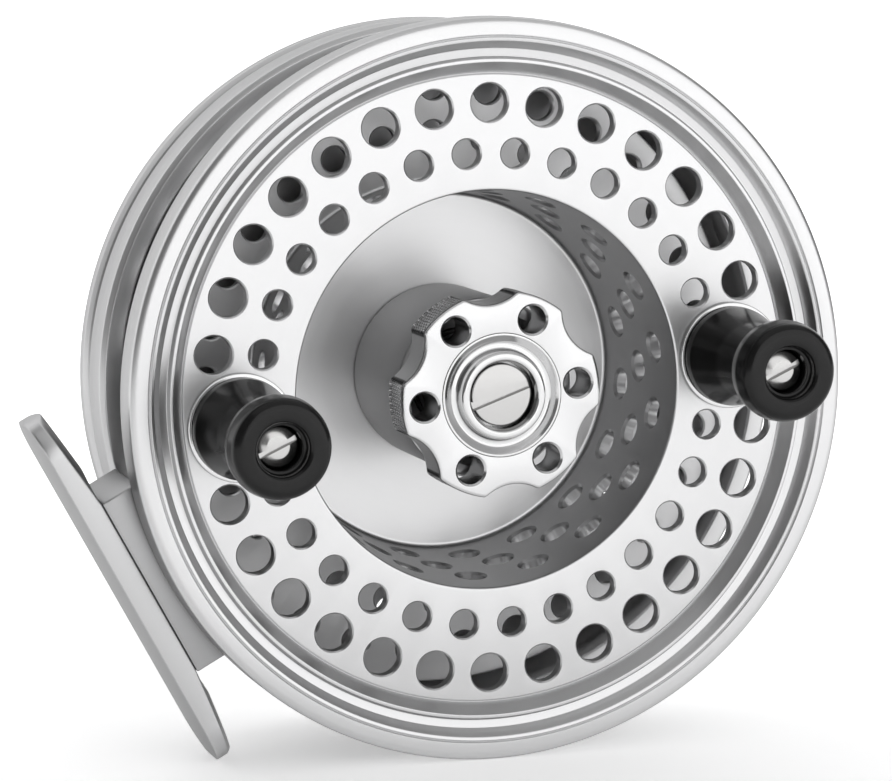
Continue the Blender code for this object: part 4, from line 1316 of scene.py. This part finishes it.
@dataclass(frozen=True)
class FrameLooks:
    """The half frame: beaded ring, ported back plate, foot wall and foot pad."""

    ring_radius: float = 54.0
    ring_bore: float = 50.6
    ring_front: float = 20.9
    rear: float = 37.7
    plate_front: float = 34.9
    boss_radius: float = 14.0
    port_ring: tuple[float, float, int] = (39.4, 2.2, 28)
    group_angle: float = 95.85
    foot_angle: float = 208.6
    wall_bore: float = 51.5
    wall_radius: float = 53.9
    wall_front: float = 4.2
    wall_half_angle: float = 22.6
    pad_radius: float = 57.62
    pad_length: float = 29.2
    pad_width: float = 14.8
    pad_base: float = 51.6
    wall_overlap: float = 2.0
    wall_steps: int = 40
    screw_step: float = 8.0
    screw_depth: float = 11.6
    screw_bore: float = 1.7
    pocket_start: float = 49.5
    pocket_floor: float = 52.8
    pocket_bore: float = 2.9
    spindle_bore: float = 4.3
    boss_front: float = 32.6
    recess: float = 0.6
    nut_recess_radius: float = 9.8
    nut_recess: float = 2.2
    hole_flare: float = 0.25
    pin_flare: float = 0.05
    pin_clearance: float = 0.3
    facets: int = 256
    hole_facets: int = 36
    pin_facets: int = 24

    def outline(self) -> Outline:
        """The ring's and plate's section.

        Returns:
            The outline's points.
        """
        ring, rear = self.ring_radius, self.rear
        return rounded(
            [
                Corner(self.spindle_bore, self.boss_front),
                Corner(self.boss_radius, self.boss_front, 0.4),
                Corner(self.boss_radius + 1.0, self.plate_front, 0.6),
                Corner(self.ring_bore, self.plate_front, 1.0),
                Corner(self.ring_bore, self.ring_front, 0.5),
                Corner(ring - 0.8, self.ring_front, 0.3),
                Corner(ring - 0.1, self.ring_front + 1.0, 0.8),
                Corner(ring, self.ring_front + 4.2, 3.0),
                Corner(ring - 0.1, self.ring_front + 7.6, 0.8),
                Corner(ring - 0.75, self.ring_front + 8.7, 0.25),
                Corner(ring - 0.95, self.ring_front + 9.0, 0.25),
                Corner(ring - 0.95, self.ring_front + 10.6, 0.25),
                Corner(ring - 0.6, self.ring_front + 11.0, 0.25),
                Corner(ring - 0.05, self.ring_front + 12.0, 0.8),
                Corner(ring, self.ring_front + 13.6, 1.5),
                Corner(ring - 0.3, rear - 1.6, 1.0),
                Corner(ring - 1.9, rear, 1.2),
                Corner(ring - 6.0, rear, 0.25),
                Corner(ring - 6.6, rear - self.recess, 0.25),
                Corner(18.4, rear - self.recess, 0.25),
                Corner(17.8, rear, 0.25),
                Corner(self.nut_recess_radius, rear, 0.3),
                Corner(self.nut_recess_radius, rear - self.nut_recess, 0.2),
                Corner(self.spindle_bore, rear - self.nut_recess),
            ],
            5,
        )

    def build(self, axis: Axis) -> None:
        """Makes the frame.

        Args:
            axis: The reel's main axis.
        """
        frame_piece = Piece("frame_ring_and_plate", Blank().turn(self.outline(), self.facets), axis.matrix())
        drills = Blank()
        circle, radius, count = self.port_ring
        for index in range(count):
            angle = self.group_angle + 360.0 * index / count
            start = Axis.point(circle, angle, self.plate_front)
            end = Axis.point(circle, angle, self.rear - self.recess)
            drills.drill(start, end, radius, self.hole_flare, self.hole_facets)
        for node in ("pawl_pin", "spring_post"):
            low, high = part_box(node)
            place = ((low + high) / 2 - axis.origin) / MM
            spot = Vector((place.x, -place.z, 0.0))
            bore = (high.x - low.x) / 2 / MM + self.pin_clearance
            start = spot + Vector((0.0, 0.0, self.plate_front))
            end = spot + Vector((0.0, 0.0, self.rear - self.recess))
            drills.drill(start, end, bore, self.pin_flare, self.pin_facets)
        frame_piece.cut(drills)
        frame_piece.ride("frame", FRAME_SATIN, ["frame"])
        self.build_wall(axis)

    def build_wall(self, axis: Axis) -> None:
        """Makes the wall that carries the foot, and the flat pad on it.

        Args:
            axis: The reel's main axis.
        """
        sections = []
        for step in range(self.wall_steps + 1):
            share = 2 * step / self.wall_steps - 1
            angle = self.foot_angle + self.wall_half_angle * share
            corners = (
                (self.wall_bore, self.wall_front),
                (self.wall_radius, self.wall_front),
                (self.wall_radius, self.ring_front + self.wall_overlap),
                (self.wall_bore, self.ring_front + self.wall_overlap),
            )
            sections.append([Axis.point(radius, angle, depth) for radius, depth in corners])
        wall = Piece("frame_foot_wall", Blank().loft(sections), axis.matrix())
        wall.soften(0.4)
        wall.cut(self.screw_pockets())
        wall.ride("frame", FRAME_SATIN)

        half = self.pad_length / 2
        sections = []
        turn = Matrix.Rotation(-math.radians(self.foot_angle), 4, "Z")
        for depth in (self.wall_front, self.wall_front + self.pad_width):
            base, face = self.pad_base, self.pad_radius
            corners = ((base, -half), (face, -half), (face, half), (base, half))
            sections.append([turn @ Vector((out, side, depth)) for out, side in corners])
        pad = Piece("frame_foot_pad", Blank().loft(sections), axis.matrix())
        pad.soften(0.3)
        pad.cut(self.screw_pockets())
        # The pad's finish is a darker copy of the frame's: painted shade.
        pad.ride("frame", PAD_SHADED_ALUMINIUM)

    def screw_pockets(self) -> Blank:
        """The counterbored holes of the two foot screws, which go in from inside the frame.

        Returns:
            The drills.
        """
        turn = Matrix.Rotation(-math.radians(self.foot_angle), 4, "Z")
        pockets = Blank()
        for side in (-self.screw_step, self.screw_step):
            for reach, radius in ((self.pocket_floor, self.pocket_bore), (self.pad_radius, self.screw_bore)):
                start = turn @ Vector((self.pocket_start, side, self.screw_depth))
                end = turn @ Vector((reach, side, self.screw_depth))
                pockets.drill(start, end, radius, 0.0, self.hole_facets)
        return pockets


@dataclass(frozen=True)
class FootLooks:
    """The reel foot: a flat rod side, and two blades with a crowned reel side that thin to their tips."""

    angle: float = 208.6
    seat_radius: float = 57.7
    thickness: float = 3.4
    tip_thickness: float = 1.7
    crown: float = 1.3
    length: float = 58.6
    width: float = 14.8
    corner: float = 6.0
    pad_length: float = 29.2
    middle_depth: float = 11.6
    edge: float = 0.35
    crown_run: float = 3.0
    crown_power: float = 0.7
    crown_steps: int = 10
    corner_reach: float = 1.4
    corner_steps: int = 36
    blade_steps: int = 14

    def matrix(self, axis: Axis) -> Matrix:
        """The foot's own frame: X along the foot, Y along the reel's axis and Z towards the rod.

        Args:
            axis: The reel's main axis.

        Returns:
            The frame's placing.
        """
        turn = math.radians(self.angle)
        out = Vector((math.cos(turn), 0.0, math.sin(turn)))
        across = Vector((0.0, 1.0, 0.0))
        along = across.cross(out)
        columns = Matrix((along, across, out)).transposed().to_4x4()
        place = axis.origin + (out * (self.seat_radius + self.thickness) + across * self.middle_depth) * MM
        return Matrix.Translation(place) @ columns

    def section(self, distance: float, inset: float) -> list[Vector]:
        """A section across the foot.

        Args:
            distance: Where it lies along the foot.
            inset: How much smaller it is, for the rounding of an end.

        Returns:
            The section's points.
        """
        half = self.length / 2
        past = abs(distance) - (half - self.corner)
        side = 0.0
        if past > 0.0:
            side = self.corner - math.sqrt(max(self.corner**2 - past**2, 0.0))
        width = self.width / 2 - side - inset
        share = max(abs(distance) - self.pad_length / 2, 0.0) / (half - self.pad_length / 2)
        height = self.thickness + share * (self.tip_thickness - self.thickness) - inset
        crown = self.crown * min(self.crown_run * share, 1.0) ** self.crown_power
        corners = [
            Corner(-width, inset, self.edge),
            Corner(width, inset, self.edge),
            Corner(width, height, self.edge),
        ]
        for step in range(1, self.crown_steps):
            across = 1 - 2 * step / self.crown_steps
            corners.append(Corner(across * width, height + crown * (1 - across**2)))
        corners.append(Corner(-width, height, self.edge))
        return [Vector((distance, across, -depth)) for across, depth in rounded(corners, 3)]

    def stations(self) -> list[tuple[float, float]]:
        """Where the foot's sections lie, close together at the round corners.

        Returns:
            Each section's place along the foot and its inset, from one end to the other.
        """
        half = self.length / 2
        right = []
        for degrees in (90.0, 60.0, 30.0, 0.0):
            turn = math.radians(degrees)
            right.append((half - self.edge * (1 - math.sin(turn)), self.edge * (1 - math.cos(turn))))
        inner = half - self.edge
        reach = self.corner * self.corner_reach
        right += [(inner - reach * step / self.corner_steps, 0.0) for step in range(1, self.corner_steps + 1)]
        start = inner - reach
        run = start - self.pad_length / 2
        right += [(start - run * step / self.blade_steps, 0.0) for step in range(1, self.blade_steps + 1)]
        return [(-distance, inset) for distance, inset in right] + right[::-1]

    def build(self, axis: Axis) -> None:
        """Makes the foot.

        Args:
            axis: The reel's main axis.
        """
        sections = [self.section(distance, inset) for distance, inset in self.stations()]
        foot = Piece("reel_foot_blade", Blank().loft(sections), self.matrix(axis))
        # The foot's brushed finish is darkened: painted shade.
        foot.ride("frame", FOOT_SHADED_ALUMINIUM, ["reel_foot"])


@dataclass(frozen=True)
class InnerLooks:
    """The pieces that keep their solids' own shapes, and what each is finished in."""

    turned: tuple[tuple[Metal, tuple[str, ...]], ...] = (
        (
            STEEL,
            (
                "spindle", "spindle_nut", "one_way_clutch", "rear_bearing", "front_bearing",
                "drag_plate", "thrust_washer", "click_pawl", "pawl_pin", "spring_post",
                "foot_screw_1", "foot_screw_2",
            ),
        ),
        (HOUSING_SATIN, ("pressure_plate",)),
        (SPRING_STEEL, ("spring_washer_1", "spring_washer_2", "click_spring")),
        (BRASS, ("click_gear",)),
    )
    own_axis: tuple[str, ...] = ("handle_post_a", "handle_post_b", "pawl_pin", "spring_post")
    corks: tuple[str, ...] = ("front_cork_disc", "rear_cork_disc")

    def dress(self, axis: Axis) -> None:
        """Gives each piece its finish, with the cutter's marks round its own axis.

        Args:
            axis: The reel's main axis.
        """
        main = Seat(axis.origin, True)
        for finish, nodes in self.turned:
            for node in nodes:
                self.paint(node, finish, main)
        for node in ("handle_post_a", "handle_post_b"):
            self.paint(node, STEEL, main)
        for node in self.corks:
            self.paint(node, CORK, main)

    def paint(self, node: str, finish: Metal | CorkComposite, main: Seat) -> None:
        """Puts a finish on one solid.

        Args:
            node: The solid's node.
            finish: What it is finished in.
            main: The reel's main axis, which most pieces were turned round.
        """
        seat = main
        if node in self.own_axis:
            low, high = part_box(node)
            seat = Seat((low + high) / 2, True)
        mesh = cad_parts[node].data
        mesh.materials.clear()
        mesh.materials.append(finish.material(seat))
        log.info("%s dressed in %s", node, finish.name)


# Studio


@dataclass(frozen=True)
class SoftLight:
    """A rectangular soft light that faces a point."""

    name: str
    place: tuple[float, float, float]
    aim: tuple[float, float, float]
    size: tuple[float, float]
    brightness: float

    def build(self) -> None:
        """Makes the light, with its power from its brightness and its area."""
        data = bpy.data.lights.new(self.name, "AREA")
        data.shape = "RECTANGLE"
        data.size, data.size_y = self.size
        data.energy = self.brightness * math.pi * data.size * data.size_y
        light = bpy.data.objects.new(self.name, data)
        bpy.context.scene.collection.objects.link(light)
        light.location = self.place
        light.rotation_mode = "QUATERNION"
        light.rotation_quaternion = (Vector(self.aim) - Vector(self.place)).to_track_quat("-Z", "Y")


@dataclass(frozen=True)
class Studio:
    """The white sweep, the lights and the camera."""

    camera_offset: tuple[float, float, float] = (-171.15, -506.99, 69.85)
    azimuth: float = -17.964
    elevation: float = 7.44
    lens: float = 147.6
    lights: tuple[SoftLight, ...] = (
        SoftLight("over_the_top", (0.1, -0.25, 0.9), (0.0, 0.0, 0.05), (1.5, 1.1), 0.55),
        SoftLight("right_front", (0.45, -1.0, 0.2), (0.0, 0.0, 0.05), (1.6, 1.2), 1.45),
    )
    sensor: float = 36.0
    view_depth: tuple[float, float] = (0.01, 20.0)
    air: float = 0.2
    floor_reach: float = 2.5
    bend_start: float = 0.5
    bend_radius: float = 0.5
    bend_steps: int = 12
    # The paper's glow is uneven over an even part: brighter in front of the reel and on the backdrop behind
    # it, dimmest at the reel, which is painted light with painted shade near the reel.
    glow: tuple[float, float, float] = (0.36, 0.3, 0.45)
    near_glow: tuple[float, float] = (-0.16, -0.06)
    far_glow: tuple[float, float] = (0.0, 0.3)
    paper_fibres: float = 900.0

    def build(self, axis: Axis) -> None:
        """Makes the whole studio.

        Args:
            axis: The reel's main axis.
        """
        scene = bpy.context.scene
        scene.view_settings.view_transform = "Standard"
        scene.view_settings.look = "None"
        self.build_world(scene)
        self.build_sweep()
        for light in self.lights:
            light.build()
        self.build_camera(scene, axis)

    def build_world(self, scene: bpy.types.Scene) -> None:
        """Makes the even surrounding light.

        Args:
            scene: The scene.
        """
        world = bpy.data.worlds.new("studio_air")
        world.use_nodes = True
        scene.world = world
        background = world.node_tree.nodes["Background"]
        background.inputs["Color"].default_value = (1.0, 1.0, 1.0, 1.0)
        background.inputs["Strength"].default_value = self.air

    def build_sweep(self) -> None:
        """Makes the floor and the backdrop that it curves up into."""
        mesh = bpy.data.meshes.new("sweep")
        path = [(-self.floor_reach, 0.0), (self.bend_start, 0.0)]
        for step in range(1, self.bend_steps + 1):
            angle = math.radians(90.0 * step / self.bend_steps)
            rise = self.bend_radius * (1 - math.cos(angle))
            path.append((self.bend_start + self.bend_radius * math.sin(angle), rise))
        path.append((self.bend_start + self.bend_radius, self.floor_reach))
        bm = bmesh.new()
        rows = [[bm.verts.new((x, y, z)) for x in (-self.floor_reach, self.floor_reach)] for y, z in path]
        for row, following in zip(rows, rows[1:]):
            bm.faces.new((row[0], row[1], following[1], following[0]))
        bm.to_mesh(mesh)
        bm.free()
        mesh.shade_smooth()
        sweep = bpy.data.objects.new("white_sweep", mesh)
        bpy.context.scene.collection.objects.link(sweep)
        bench = Bench("white_paper")
        _, y, _ = bench.split(bench.coordinates())
        fibre = bench.noise(bench.coordinates(), self.paper_fibres, 2.0)
        even, near, far = self.glow
        # Painted light and shade: extra glow in front and behind, none near the reel.
        glow = (1.0 - y.ramp(*self.near_glow)) * near + y.ramp(*self.far_glow) * far + even
        bench.dress(
            Base_Color=bench.blend(fibre, (0.86, 0.86, 0.865), (0.9, 0.9, 0.9)),
            Roughness=fibre * 0.1 + 0.65,
            Emission_Color=glow,
            Emission_Strength=1.0,
        )
        mesh.materials.append(bench.material)

    def build_camera(self, scene: bpy.types.Scene, axis: Axis) -> None:
        """Makes the camera.

        Args:
            scene: The scene.
            axis: The reel's main axis.
        """
        data = bpy.data.cameras.new("camera")
        data.lens = self.lens
        data.sensor_width = self.sensor
        data.clip_start, data.clip_end = self.view_depth
        camera = bpy.data.objects.new("camera", data)
        scene.collection.objects.link(camera)
        camera.location = axis.origin + Vector(self.camera_offset) * MM
        azimuth, elevation = math.radians(self.azimuth), math.radians(self.elevation)
        flat = math.cos(elevation)
        back = Vector((math.sin(azimuth) * flat, -math.cos(azimuth) * flat, math.sin(elevation)))
        camera.rotation_mode = "QUATERNION"
        camera.rotation_quaternion = (-back).to_track_quat("-Z", "Y")
        scene.camera = camera


def write_size() -> None:
    """Updates the view layer.
    """
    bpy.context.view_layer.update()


def main() -> None:
    """Builds the reel's looks and the studio."""
    logging.basicConfig(level=logging.INFO, format="%(name)s: %(message)s")
    axis = Reel().axis()
    SpoolLooks().build(axis)
    HousingLooks().build(axis)
    KnobLooks().build(axis)
    HandleLooks("a").build()
    HandleLooks("b").build()
    FrameLooks().build(axis)
    FootLooks().build(axis)
    InnerLooks().dress(axis)
    Studio().build(axis)
    write_size()


if __name__ == "__main__":
    main()
